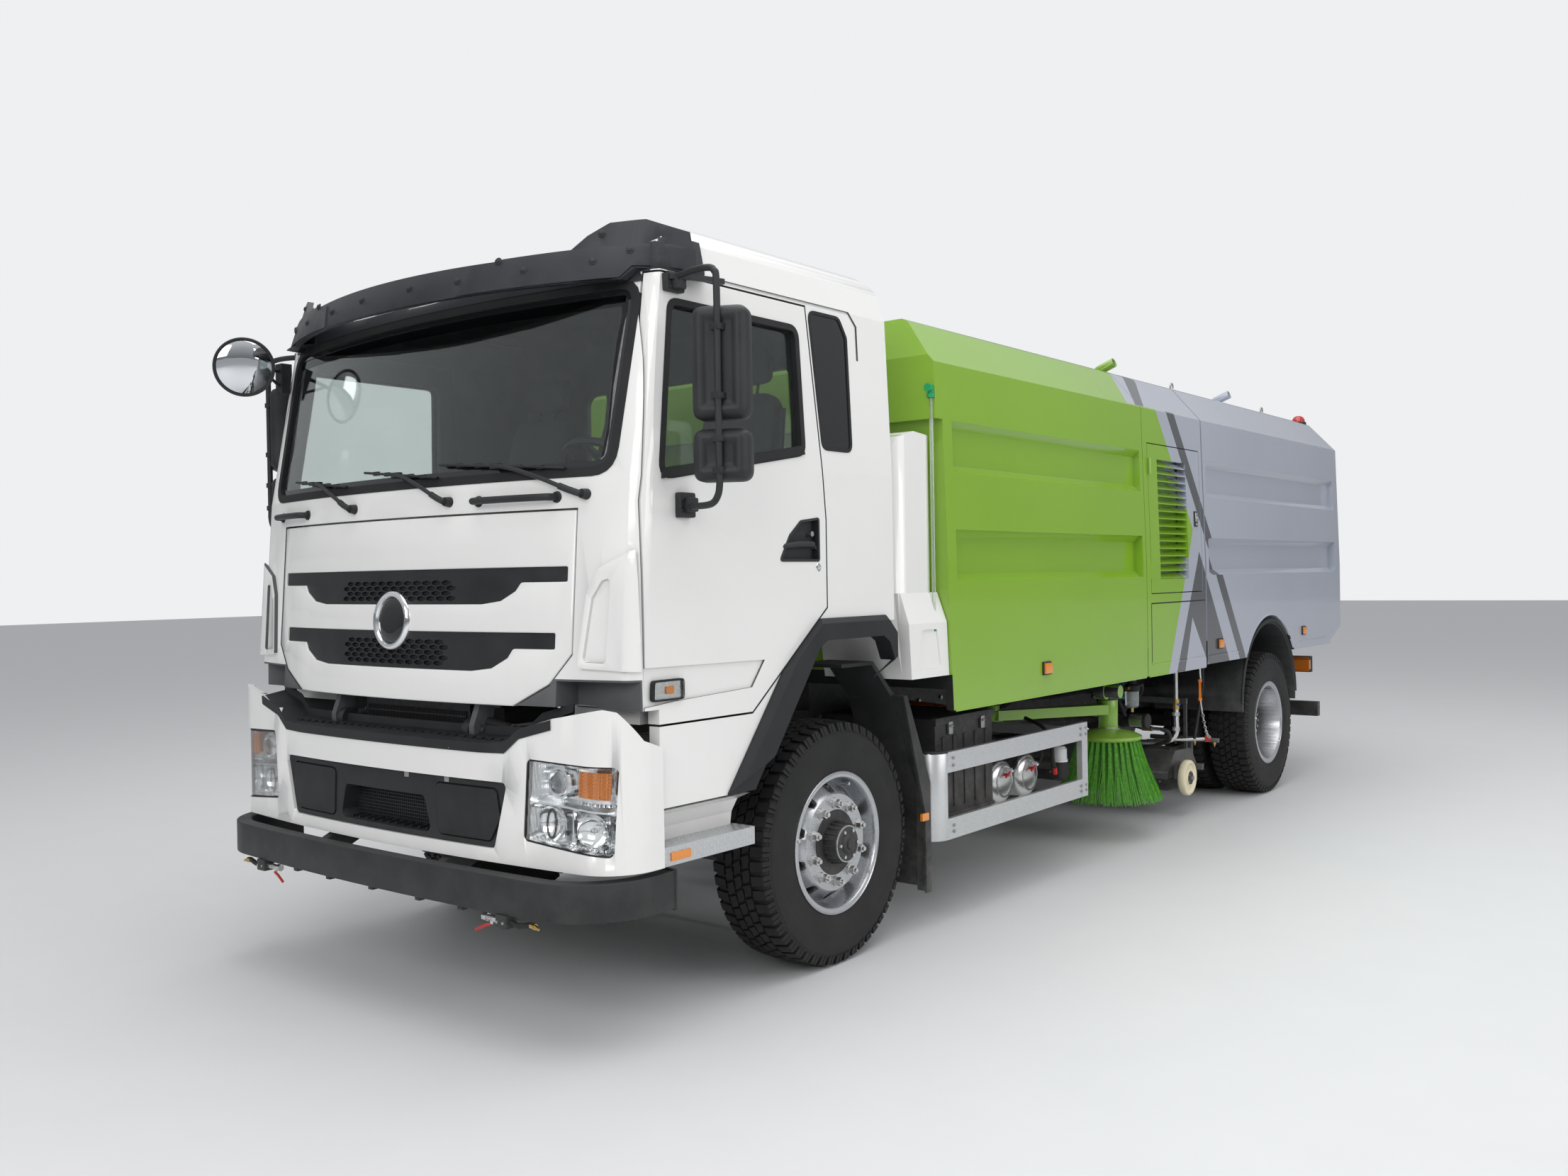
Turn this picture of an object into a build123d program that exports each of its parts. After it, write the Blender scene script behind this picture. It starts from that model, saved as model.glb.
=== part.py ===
from build123d import *
import math
import os

# Street sweeper truck. Millimetres, +Z up, forward is -Y, the driver's (left) side is +X.
# Stations run rearwards from the front axle and heights from the ground. Each piece is moved
# by front_axle_y when it is saved, so that the origin lies on the ground under the truck's middle.
front_axle_y = -2770

# wheels
wheelbase = 5300
axle_height = 522
tyre_radius = 522
tyre_width = 295
flange_radius = 299
barrel_radius = 268
flange_width = 257
stud_circle = 167.5
stud_count = 10
hand_hole_radius = 24
front_tyre_x = 1024
rear_outer_tyre_x = 1105
dual_spacing = 340
kingpin_x = 860
kingpin_radius = 26
spindle_radius = 45
running_gap = 0.05

# chassis
rail_inner_x = 345
rail_outer_x = 430
rail_web = 8
rail_bottom = 700
rail_top = 980
rail_front = -1250
rail_overhang = 1480
rail_rear = wheelbase + rail_overhang
bearer_height = 140

# cab
cab_half_width = 1225
cab_wall = 55
cab_nose_wall = 96
cab_rear = 350
cab_front_foot = -1440
cab_front_waist = -1372
cab_bow = 150
cab_corner = 75
cab_foot = 1100
cab_waist = 2030
cab_roof = 3035
cab_roof_edge = cab_roof - 50
cab_floor = 1510
screen_slant = 0.19
door_gap = 8
door_inner_x = 1135
pane = 6
tilt_station = -1340
tilt_height = 1100
tilt_pin_radius = 20
step_tread = 704
flare_x = 1262
flare_facet = 26

# front flap
flap_half_width = 960
flap_top = 1918
flap_depth = 40
flap_gap = 7

# grille bands in the flap: half width, foot and head of the thin strip, half widths and foot of the
# deeper middle, then half width, foot and head of the honeycomb
grille_bands = (
    (930, 1660, 1715, 717, 520, 1580, 400, 1592, 1694),
    (885, 1416, 1475, 690, 480, 1330, 365, 1344, 1456),
)
band_depth = 24
band_step = 7
cell_pitch = 58
cell_row = 20
cell_wall = 6
cell_depth = 12

# bumper and spray bar
bumper_front = -1475
bumper_half_width = 1245
bumper_bottom = 640
bumper_top = 1068
bumper_skin = 26
spray_front = -1555
spray_bottom = 485
spray_top = 620

# body
body_half_width = 1265
body_skirt = 1022
body_floor = 1120
body_eave = 2655
ridge_half_width = 1030
ridge_height = 2895
fairing_foot = 1190
fairing_step = 1580
fairing_top = 2320
tank_front = 690
tank_rear = wheelbase - 2265
fan_rear = tank_rear + 960
hopper_front = fan_rear + 20
hopper_rear = wheelbase + 1700
body_lean = 26
rib_depth = 42
louvre_door = (tank_rear + 75, tank_rear + 905, 1525, 2440)
louvre_grid = (tank_rear + 215, tank_rear + 675, 1610, 2350)
louvre_count = 16
door_skin = 45
tail_thick = 90
dump_station = rail_rear + 70
dump_height = 990
lift_base = (hopper_front + 35, 700)
lift_eye = (hopper_front + 1335, 1065)
lift_x = 220

jaw_height = 790
jaw_bore_radius = 20.5

front_guard_x = 1190

# sweeping gear
brush_centre = (950, tank_rear + 115)
brush_low = 235
brush_radius = 330
shaft_radius = 20
brush_arm_root = (505, tank_rear - 555)
nozzle_station = wheelbase - 1080
nozzle_half_length = 260
caster_x = 1105
caster_station = nozzle_station - 180
caster_radius = 120
caster_height = 264

# filling stub
filler_station = tank_rear - 75
filler_height = 930
filler_radius = 40
filler_collar_x = 1030
filler_end_x = 1120


def brick(x_span, y_span, z_span):
    size = (x_span[1] - x_span[0], y_span[1] - y_span[0], z_span[1] - z_span[0])
    middle = (sum(x_span) / 2, sum(y_span) / 2, sum(z_span) / 2)
    return Pos(*middle) * Box(*size)


def side_form(outline, x_span, rounding=0, corners=None):
    # an outline of (station, height) points, carried across from one X to another
    face = make_face(Polyline(*[(s, h) for s, h in outline], close=True))
    if rounding:
        points = face.vertices()
        if corners is not None:
            points = [v for v in points if any(abs(v.X - s) < 1 and abs(v.Y - h) < 1 for s, h in corners)]
        face = fillet(points, rounding)
    return extrude(Plane.YZ.offset(x_span[0]) * face, x_span[1] - x_span[0], dir=(1, 0, 0))


def front_form(outline, y_span, rounding=0, corners=None):
    # an outline of (x, height) points, carried rearwards
    face = make_face(Polyline(*[(x, h) for x, h in outline], close=True))
    if rounding:
        points = face.vertices()
        if corners is not None:
            points = [v for v in points if any(abs(v.X - x) < 1 and abs(v.Y - h) < 1 for x, h in corners)]
        face = fillet(points, rounding)
    return extrude(Plane.XZ.offset(-y_span[0]) * face, y_span[1] - y_span[0], dir=(0, 1, 0))


def plan_form(outline, z_span, rounding=0):
    face = make_face(Polyline(*outline, close=True))
    if rounding:
        face = fillet(face.vertices(), rounding)
    return extrude(Pos(0, 0, z_span[0]) * face, z_span[1] - z_span[0], dir=(0, 0, 1))


def rod(start, end, radius):
    start, end = Vector(*start), Vector(*end)
    along = end - start
    plane = Plane(origin=start, z_dir=along)
    return extrude(plane * Circle(radius), along.length)


def turned(profile, x, station, height):
    # a profile of (offset along X, radius) points, turned about an axis along X
    face = make_face(Polyline(*profile, close=True))
    ring = revolve(face, Axis.X)
    return Pos(x, station, height) * ring


def other_side(shape):
    return mirror(shape, about=Plane.YZ)


def both_sides(shape):
    return shape + other_side(shape)


def bowed_plan(half_width, front, bow, corner, rear):
    # plan outline with a bowed front and rounded front corners
    shoulder = front + bow
    nose = ThreePointArc((-half_width, shoulder), (0, front), (half_width, shoulder))
    back = Polyline((half_width, shoulder), (half_width, rear), (-half_width, rear), (-half_width, shoulder))
    face = make_face(nose.edges() + back.edges())
    return fillet(face.vertices().sort_by(Axis.Y)[:2], corner)


def mirrored_outline(half):
    return half + [(-x, h) for x, h in reversed(half)]


# The cab is a bowed nose block below the waist and a raked one above it, trimmed by the
# side outline and by the front outline. The same block, set in by the wall, is its inside.
def cab_block(inset, nose):
    rise = cab_waist - cab_foot
    fall = (cab_front_waist - cab_front_foot) / rise
    width = cab_half_width - inset
    low = bowed_plan(width, cab_front_foot + nose, cab_bow, cab_corner, cab_rear + 800)
    low = extrude(Pos(0, 0, cab_foot) * low, rise * math.hypot(1, fall), dir=(0, fall, 1))
    skirts = brick((-width, width), (cab_front_foot + 200, cab_rear + 400), (700, cab_foot))
    high = bowed_plan(width, cab_front_waist + nose, cab_bow, cab_corner, cab_rear + 800)
    climb = cab_roof + 100 - cab_waist
    high = extrude(Pos(0, 0, cab_waist) * high, climb * math.hypot(1, screen_slant),
                   dir=(0, screen_slant, 1))
    roof = cab_roof - inset
    back = cab_rear - inset
    side = [(-1600, 1200), (-1155, 1200), (-1155, 845), (-655, 845), (-215, 1455), (back, 1465),
            (back, roof - 225), (back - 30, roof - 100), (back - 215, roof), (-700, roof),
            (-1010, roof - 105), (-1600, roof - 470)]
    side = side_form(side, (-1300, 1300), 60, [(back, roof - 225), (back - 30, roof - 100),
                                               (-1010, roof - 105)])
    edge = cab_roof_edge - inset
    crown = ThreePointArc((1150 - inset, edge), (0, roof), (inset - 1150, edge))
    flank = Polyline((inset - 1150, edge), (inset - 1196, cab_roof - 245), (-width, 2100), (-width, 700),
                     (width, 700), (width, 2100), (1196 - inset, cab_roof - 245), (1150 - inset, edge))
    front = make_face(crown.edges() + flank.edges())
    front = fillet([v for v in front.vertices() if abs(v.Y - edge) < 1], 110)
    front = extrude(Plane.XZ.offset(1700) * front, 2400, dir=(0, 1, 0))
    return (low + skirts + high) & side & front


door_head = cab_roof - 265
window_head = cab_roof - 363
door_outline = [(-1226, 1146), (-1214, 1940), (-1104, door_head), (-236, door_head), (-150, 1900),
                (-150, 1536), (-640, 1146)]
window_outline = [(-1128, 2030), (-1040, window_head), (-300, window_head), (-290, 2168)]
quarter_outline = [(-158, 2190), (-214, door_head - 10), (0, door_head - 10), (50, door_head - 90),
                   (50, 2190)]
screen_outline = mirrored_outline([(1105, 2048), (1125, cab_roof - 290)])
rear_window_outline = mirrored_outline([(700, 2180), (700, cab_roof - 395)])
flap_outline = mirrored_outline([(698, 1206), (864, 1290), (flap_half_width, 1400),
                                 (flap_half_width, flap_top)])
handle_outline = [(-456, 1728), (-198, 1728), (-198, 1903), (-320, 1888), (-392, 1830)]
sill_outline = [(-1300, 1352), (-560, 1342), (-640, 1240), (-1080, 1222), (-1300, 1205)]
fin_outline = [(1000, 1352), (1260, 1340), (1260, 1778), (1215, 1768), (1075, 1705), (1030, 1620)]
fin_panel_outline = [(1022, 1374), (1122, 1370), (1128, 1672), (1092, 1662), (1052, 1600)]
rain_channel = [(-1116, door_head + 12), (70, door_head + 12), (116, door_head - 35), (116, door_head - 180),
                (132, door_head - 180), (132, door_head - 30), (76, door_head + 26), (-1112, door_head + 26)]


def door_prism(gap, x_span=(door_inner_x, 1300)):
    face = make_face(Polyline(*door_outline, close=True))
    if gap:
        face = offset(face, gap, kind=Kind.INTERSECTION)
    return extrude(Plane.YZ.offset(x_span[0]) * face, x_span[1] - x_span[0], dir=(1, 0, 0))


def outline_prism(outline, gap, span, plane, rounding=0):
    face = make_face(Polyline(*outline, close=True))
    if rounding:
        face = fillet(face.vertices(), rounding)
    if gap:
        face = offset(face, gap, kind=Kind.INTERSECTION if not rounding else Kind.ARC)
    if plane == "side":
        return extrude(Plane.YZ.offset(span[0]) * face, span[1] - span[0], dir=(1, 0, 0))
    return extrude(Plane.XZ.offset(-span[0]) * face, span[1] - span[0], dir=(0, 1, 0))


def cab():
    whole = cab_block(0, 0)
    room = cab_block(cab_wall, cab_nose_wall)
    room = room & brick((-1300, 1300), (-1600, 400), (cab_floor, cab_roof + 65))
    shell = whole - room
    # open space below the floor, between the skirts
    shell -= brick((-745, 745), (-1344, 500), (600, cab_floor - cab_wall))
    shell -= brick((-1175, 1175), (-1240, 500), (600, 1140))
    # step wells behind the doors
    shell -= both_sides(brick((800, cab_half_width - cab_wall), (-1180, -700), (1190, cab_floor + 10)))
    inside = cab_block(cab_wall + door_gap, cab_wall + door_gap) & brick((-1300, 1300), (-980, 400),
                                                                         (1000, cab_roof + 65))
    shell -= both_sides(door_prism(door_gap, (door_inner_x - door_gap, 1300))) - inside
    # rebate that takes the front flap
    recess = cab_block(-60, -60) - cab_block(flap_depth + flap_gap, flap_depth + flap_gap)
    shell -= recess & outline_prism(flap_outline, flap_gap, (-1650, -1200), "front")
    shell -= brick((-flap_half_width - 40, flap_half_width + 40), (-1600, -1200), (1000, 1210))
    # corner panels end above the bumper's horns
    shell -= both_sides(brick((flap_half_width - 60, 1300), (-1600, -1242), (1000, 1303)))
    shell -= outline_prism(screen_outline, 0, (-1600, -900), "front", 90)
    shell -= outline_prism(rear_window_outline, 0, (200, 500), "front", 60)
    shell -= both_sides(outline_prism(quarter_outline, 0, (1000, 1300), "side", 40)) - cab_block(18, 18)
    # rain channel over the door
    shell -= both_sides(outline_prism(rain_channel, 0, (1000, 1300), "side")) - cab_block(9, 9)
    # raised fins on the corner panels, each with a sunk panel
    fin = (cab_block(-15, -15) - cab_block(3, 3)) & outline_prism(fin_outline, 0, (-1650, -1250), "front",
                                                                  20)
    fin -= outline_prism(fin_panel_outline, 0, (-1650, -1200), "front", 14) - cab_block(-4, -4)
    shell += both_sides(fin)
    # lugs that reach down to the tilt pin
    lug = side_form([(-1350, 1210), (-1384, 1120), (-1384, 1100), (-1296, 1100), (-1250, 1470),
                     (-1330, 1470)], (445, 475))
    lug += rod((445, tilt_station, tilt_height), (475, tilt_station, tilt_height), 44)
    lug -= rod((440, tilt_station, tilt_height), (480, tilt_station, tilt_height),
               tilt_pin_radius + running_gap)
    shell += both_sides(lug)
    skin = whole - cab_block(cab_wall, cab_wall)
    door = skin & door_prism(0)
    door -= outline_prism(window_outline, 0, (1000, 1300), "side", 45)
    door -= outline_prism(handle_outline, 0, (cab_half_width - 32, 1300), "side", 8)
    door -= outline_prism(sill_outline, 0, (cab_half_width - 9, 1300), "side")
    glass = cab_block(20, 20) - cab_block(20 + pane, 20 + pane)
    pane_form = glass & outline_prism(window_outline, 0, (1000, 1300), "side", 45)
    flap = (whole - cab_block(flap_depth, flap_depth))
    flap = flap & outline_prism(flap_outline, 0, (-1650, -1200), "front")
    bands = Part() + [band_prism(*band) for band in grille_bands]
    flap -= bands - cab_block(band_depth, band_depth)
    insert = bands & (cab_block(band_step, band_step) - cab_block(band_depth, band_depth))
    cells = Part() + [honeycomb(*band[6:]) for band in grille_bands]
    insert -= cells - cab_block(band_step + cell_depth, band_step + cell_depth)
    screens = (cab_block(10, 10) - cab_block(10 + pane, 10 + pane))
    screens = screens & outline_prism(screen_outline, 0, (-1600, -900), "front", 90)
    back = brick((-1000, 1000), (cab_rear - 30, cab_rear - 30 + pane), (2000, 2900))
    back = back & outline_prism(rear_window_outline, 0, (200, 500), "front", 60)
    quarter = (cab_block(6, 6) - cab_block(18, 18)) & outline_prism(quarter_outline, 0, (1100, 1300), "side",
                                                                    40)
    return shell, door, pane_form, flap, insert, screens + back + both_sides(quarter)


def band_prism(strip, foot, head, deep_head, deep_foot, low, *cells):
    bend = (deep_head - deep_foot) / 2
    half = [(deep_foot, low), (deep_foot + bend, low + 12), (deep_head - 24, (low + foot) / 2 + 10),
            (deep_head, foot), (strip, foot), (strip, head)]
    return outline_prism(mirrored_outline(half), 0, (-1650, -1200), "front")


def honeycomb(half_width, low, high):
    # rows of six-sided holes, each row half a pitch on from the one below
    w = (cell_pitch - cell_wall) / 2
    h = (cell_row * 4 / 3 - cell_wall) / 2
    hexagon = make_face(Polyline((0, -h), (w, -h / 2), (w, h / 2), (0, h), (-w, h / 2), (-w, -h / 2),
                                 close=True))
    rows = int((high - low - h) / cell_row)
    holes = []
    for row in range(rows):
        shift = cell_pitch / 2 * (row % 2)
        reach = int((half_width - w - shift) / cell_pitch)
        for k in range(-reach - row % 2, reach + 1):
            holes.append(Pos(k * cell_pitch + shift, low + h + cell_row * row) * hexagon)
    return extrude(Plane.XZ.offset(1650) * (Sketch() + holes), 450, dir=(0, 1, 0))


def sun_visor():
    # a bowed blade standing off the screen's head, with raised ends that wrap round the corners
    low = cab_roof - 300
    outer = bowed_plan(1200, -1455, 330, 210, -940)
    inner = bowed_plan(1180, -1431, 330, 190, -900)
    ring = extrude(Pos(0, 0, low - 35) * (outer - inner), 330, dir=(0, 0.35, 1))
    face = [(0, low), (1085, low + 10), (1120, low + 51), (1210, low + 51), (1180, low + 215),
            (1120, low + 240), (1000, low + 235), (930, low + 190), (870, low + 127)]
    blade = ring & front_form(mirrored_outline(face), (-1700, -900))
    # second layer that overlaps the blade at each end
    skin = bowed_plan(1207, -1462, 330, 217, -940) - outer
    skin = extrude(Pos(0, 0, low - 35) * skin, 330, dir=(0, 0.35, 1))
    lap = [(440, low + 6), (1085, low + 16), (1118, low + 59), (1220, low + 59), (1220, low + 145),
           (620, low + 131), (500, low + 111)]
    lap = skin & front_form(lap, (-1700, -900))
    return (blade + both_sides(lap)) - cab_block(0, 0)


def seats():
    seat = brick((420, 920), (-620, -120), (1790, 1920)) + side_form(
        [(-160, 1860), (-60, 1860), (70, 2520), (-30, 2540)], (430, 910))
    seat += brick((500, 840), (-560, -180), (cab_floor, 1790))
    seat += side_form([(-10, 2520), (60, 2505), (95, 2700), (25, 2715)], (540, 800), 20)
    return both_sides(seat)


def dashboard():
    dash = side_form([(-1180, 1700), (-820, 1700), (-780, 1960), (-860, 2050), (-1180, 2010)], (-1150, 1150))
    dash = dash & cab_block(cab_wall + 2, cab_nose_wall + 2)
    dash += brick((-180, 180), (-1180, -820), (cab_floor, 1710))
    column = rod((640, -900, 1940), (640, -770, 2080), 30)
    wheel = Plane(origin=(640, -770, 2086), z_dir=(0, 0.55, 0.83)) * (Cylinder(238, 24) - Cylinder(212, 30))
    hub = rod((640, -800, 2041), (640, -762, 2098), 60)
    spoke = Plane(origin=(640, -770, 2086), z_dir=(0, 0.55, 0.83)) * Box(440, 36, 16)
    return dash + column + wheel + hub + spoke


def wheel_flares():
    # black arch trim on the cab's side in two facets, a band that follows the cut of the door and the skirt
    crest = [(-800, 845), (-330, 1452), (-255, 1490), (270, 1490), (345, 1420), (345, 1290)]
    hollow = [(300, 1290), (262, 1372), (215, 1400), (-190, 1400), (-245, 1372), (-640, 845)]
    band = side_form(crest + hollow, (1180, flare_x - flare_facet))
    facet = make_face(Polyline(*crest, close=True))
    band += extrude(Plane.YZ.offset(flare_x - flare_facet) * facet, flare_facet, taper=40)
    band -= side_form(hollow, (1100, 1300))
    return both_sides(band - cab_block(0, 0) - door_prism(4))


def wipers():
    parts = []
    for x, reach in ((1000, -520), (330, -400), (-300, -400)):
        pivot = (x, -1392, 1972)
        arm = rod(pivot, (x + reach * 0.55, -1424, 2030), 9)
        arm += rod((x, -1380, 1972), (x, -1420, 1972), 22)
        arm += brick((x + reach - 120, x + reach * 0.35), (-1432, -1416), (2024, 2040))
        parts.append(arm)
    return parts


def mirrors():
    # tall main glass housing, wide angle housing below, on a bowed tube held by two door brackets
    housing = []
    for height, tall in ((2420, 400), (2095, 185)):
        plate = extrude(Plane.XZ.offset(1082) * Pos(1440, height) * RectangleRounded(210, tall, 34), 104,
                        dir=(0, 1, 0))
        housing.append(chamfer(plate.faces().sort_by(Axis.Y)[0].edges(), 22))
    main, wide = housing
    stops = [(1232, -1035, 2750), (1385, -1083, 2750), (1412, -1100, 2720), (1412, -1100, 1985),
             (1385, -1085, 1950), (1240, -1015, 1925)]
    tube = Part() + [rod(a, b, 12) for a, b in zip(stops, stops[1:])]
    top = Pos(1215, -1030, 2730) * Box(80, 90, 66)
    low = Pos(1235, -1015, 1930) * Box(70, 80, 90)
    clamp_high = Pos(1425, -1078, 2420) * Box(60, 60, 60)
    clamp_low = Pos(1428, -1078, 2095) * Box(60, 60, 60)
    return (main + wide + tube + top + low + clamp_high + clamp_low) - cab_block(0, 0)


def front_mirror():
    # round convex mirror on a strut from the right screen pillar, turned to face the driver
    centre = Vector(-1100, -1400, 2650)
    facing = Vector(0.9, -0.35, -0.2).normalized()
    shell = Pos(0, 0, 4) * Cylinder(130, 16) + Pos(0, 0, -16) * Cylinder(96, 24)
    dish = Plane(origin=centre, z_dir=facing) * shell
    root = Vector(-1195, -1150, 2668)
    strut = rod(centre - facing * 20, root, 9)
    strut += rod(centre - facing * 24 + (root - centre) * 0.45, root - Vector(0, 0, 90), 7)
    plate = brick((-1215, -1160), (-1180, -1128), (2560, 2700))
    blocked = cab_block(0, 0) + other_side(door_prism(door_gap, (door_inner_x - 40, 1300)))
    return (dish + strut + plate) - blocked


def bumper_block(inset, z_span):
    plan = bowed_plan(bumper_half_width - inset, bumper_front + inset, 90, 190 - inset, -1160)
    return extrude(Pos(0, 0, z_span[0]) * plan, z_span[1] - z_span[0], dir=(0, 0, 1))


lamp_outline = [(812, 735), (835, 1030), (1205, 1015), (1190, 700)]
insert_outline = mirrored_outline([(665, 690), (735, 935)])
intake_outline = mirrored_outline([(302, 712), (262, 850)])
hatch_outline = [(348, 716), (634, 716), (688, 800), (668, 905), (336, 905)]


def bumper():
    whole = bumper_block(0, (bumper_bottom, 1240))
    skin = whole - bumper_block(bumper_skin, (0, 1300))
    top = [(-1300, 600), (1300, 600), (1300, 1240), (960, 1178), (790, 1130), (720, bumper_top),
           (-720, bumper_top), (-790, 1130), (-960, 1178), (-1300, 1240)]
    skin = skin & front_form(top, (-1700, -1000))
    skin = skin & side_form([(-1700, 600), (-1100, 600), (-1160, 1067), (-1250, 1100), (-1340, 1205),
                             (-1440, 1235), (-1700, 1235)], (-1300, 1300))
    skin -= outline_prism(insert_outline, 0, (-1700, -1200), "front", 20)
    lamps = outline_prism(lamp_outline, 0, (-1700, -1168), "front", 20)
    skin -= both_sides(lamps)
    unit = (bumper_block(5, (600, 1200)) - bumper_block(90, (500, 1300))) & lamps
    insert = (bumper_block(12, (600, 1200)) - bumper_block(60, (500, 1300)))
    insert = insert & outline_prism(insert_outline, 0, (-1700, -1200), "front", 20)
    # sunk air intake with a closed back, and a raised hatch in a groove on each side of it
    box = outline_prism(intake_outline, 12, (-1700, -1200), "front", 24)
    insert += (bumper_block(30, (600, 1200)) - bumper_block(100, (500, 1300))) & box
    insert -= outline_prism(intake_outline, 0, (-1700, -1200), "front", 24) - bumper_block(88, (500, 1300))
    hatch = outline_prism(hatch_outline, 0, (-1700, -1200), "front", 22)
    groove = outline_prism(hatch_outline, 6, (-1700, -1200), "front", 22) - hatch
    insert -= both_sides(groove) - bumper_block(20, (500, 1300))
    insert += both_sides(hatch) & (bumper_block(8, (600, 1200)) - bumper_block(14, (500, 1300)))
    tray = bumper_block(bumper_skin, (1022, 1042)) & brick((-735, 735), (-1700, -1395), (1000, 1100))
    return skin, insert + tray, both_sides(unit)


def spray_bar():
    outer = bowed_plan(1245, spray_front, 60, 300, -1100)
    inner = bowed_plan(1185, spray_front + 60, 60, 240, -1000)
    bar = extrude(Pos(0, 0, spray_bottom) * (outer - inner), spray_top - spray_bottom, dir=(0, 0, 1))
    hanger = side_form([(-1520, 500), (-1520, 600), (-1300, rail_bottom), (-1180, rail_bottom),
                        (-1180, 660)], (370, 410))
    end = brick((1180, 1249), (-1112, -1100), (spray_bottom - 6, spray_top + 6))
    return bar + both_sides(hanger + end)


def frame_rails():
    rail = brick((rail_inner_x, rail_outer_x), (rail_front, rail_rear), (rail_bottom, rail_top))
    rail -= brick((rail_inner_x - 5, rail_outer_x - rail_web), (rail_front - 5, rail_rear + 5),
                  (rail_bottom + rail_web, rail_top - rail_web))
    frame = both_sides(rail)
    half = rail_outer_x - rail_web
    for station in (-1050, 700, 1600, 2650, wheelbase + 600, rail_rear - 80):
        frame += brick((-half, half), (station - 40, station + 40), (rail_bottom + 60, rail_top - 60))
    # bearers under the body
    bearer = brick((rail_inner_x, rail_outer_x), (tank_front + 60, hopper_front - 10),
                   (rail_top, rail_top + bearer_height))
    frame += both_sides(bearer)
    # cross shaft that the lift cylinders turn on
    frame += rod((-half, lift_base[0], lift_base[1]), (half, lift_base[0], lift_base[1]), 32)
    # tilt brackets at the nose
    bracket = side_form([(-1180, 720), (-1180, rail_top), (-1296, 1100), (-1384, 1100), (-1300, 720)],
                        (398, 436))
    bracket += rod((398, tilt_station, tilt_height), (436, tilt_station, tilt_height), 44)
    bracket += rod((398, tilt_station, tilt_height), (500, tilt_station, tilt_height), tilt_pin_radius)
    frame += both_sides(bracket)
    # arms that carry the bumper
    arm = brick((360, 425), (-1460, rail_front + 60), (760, 930)) & bumper_block(60, (500, 1200))
    frame += both_sides(arm)
    # dump pivot brackets
    pivot = side_form([(dump_station - 250, 760), (dump_station - 250, rail_top),
                       (dump_station - 40, dump_height), (dump_station + 40, dump_height), (rail_rear, 760)],
                      (rail_outer_x - 4, rail_outer_x + 26))
    pivot += rod((rail_outer_x - 4, dump_station, dump_height),
                 (rail_outer_x + 26, dump_station, dump_height), 42)
    pivot += rod((rail_outer_x, dump_station, dump_height), (rail_outer_x + 90, dump_station, dump_height),
                 22)
    frame += both_sides(pivot)
    return frame


def front_axle():
    beam = brick((-700, 700), (-48, 48), (370, 470))
    rise = front_form([(680, 370), (kingpin_x - 70, 458), (kingpin_x, 458), (kingpin_x, 572),
                       (kingpin_x - 70, 572), (640, 470)], (-48, 48))
    boss = rod((kingpin_x, 0, 455), (kingpin_x, 0, 575), 46)
    pad = brick((390, 480), (-70, 70), (470, 500))
    beam += both_sides(rise + boss + pad)
    pin = rod((kingpin_x, 0, 400), (kingpin_x, 0, 640), kingpin_radius)
    return beam + both_sides(pin)


def knuckle():
    # fork round the axle's boss, spindle, brake plate and the arm that reaches back to the tie rod
    low = Pos(kingpin_x, 0, 420) * Cylinder(52, 60)
    high = Pos(kingpin_x, 0, 610) * Cylinder(52, 60)
    web = brick((kingpin_x + 52, kingpin_x + 90), (-60, 60), (395, 640))
    web += brick((kingpin_x, kingpin_x + 70), (-50, 50), (395, 447))
    web += brick((kingpin_x, kingpin_x + 70), (-50, 50), (585, 640))
    spindle = rod((kingpin_x + 80, 0, axle_height), (1165, 0, axle_height), spindle_radius)
    plate = rod((kingpin_x + 60, 0, axle_height), (kingpin_x + 84, 0, axle_height), 190)
    arm = brick((kingpin_x - 26, kingpin_x + 26), (0, 225), (398, 420))
    arm -= brick((kingpin_x - 60, kingpin_x + 60), (-300, 0), (300, 500))
    eye = rod((kingpin_x, 210, 398), (kingpin_x, 210, 420), 30)
    stud = rod((kingpin_x, 210, 340), (kingpin_x, 210, 400), 12)
    body = low + high + web + spindle + plate + arm + eye + stud
    body -= rod((kingpin_x, 0, 380), (kingpin_x, 0, 660), kingpin_radius + running_gap)
    return body


def tie_rod():
    bar = rod((-kingpin_x, 210, 368), (kingpin_x, 210, 368), 18)
    for x in (-kingpin_x, kingpin_x):
        bar += rod((x, 210, 348), (x, 210, 388), 30)
    for x in (-kingpin_x, kingpin_x):
        bar -= rod((x, 210, 330), (x, 210, 400), 12 + running_gap)
    return bar


def tyre(x):
    half = tyre_width / 2
    return turned([(-half, flange_radius), (-half, tyre_radius), (half, tyre_radius), (half, flange_radius)],
                  x, 0, axle_height)


def hand_holes(x, radius):
    # ten round openings in the wheel's disc
    holes = []
    for k in range(stud_count):
        turn = 2 * math.pi * (k + 0.5) / stud_count
        place = Pos(x, radius * math.cos(turn), axle_height + radius * math.sin(turn))
        holes.append(place * Rot(0, 90, 0) * Cylinder(hand_hole_radius, 100))
    return holes


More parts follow.
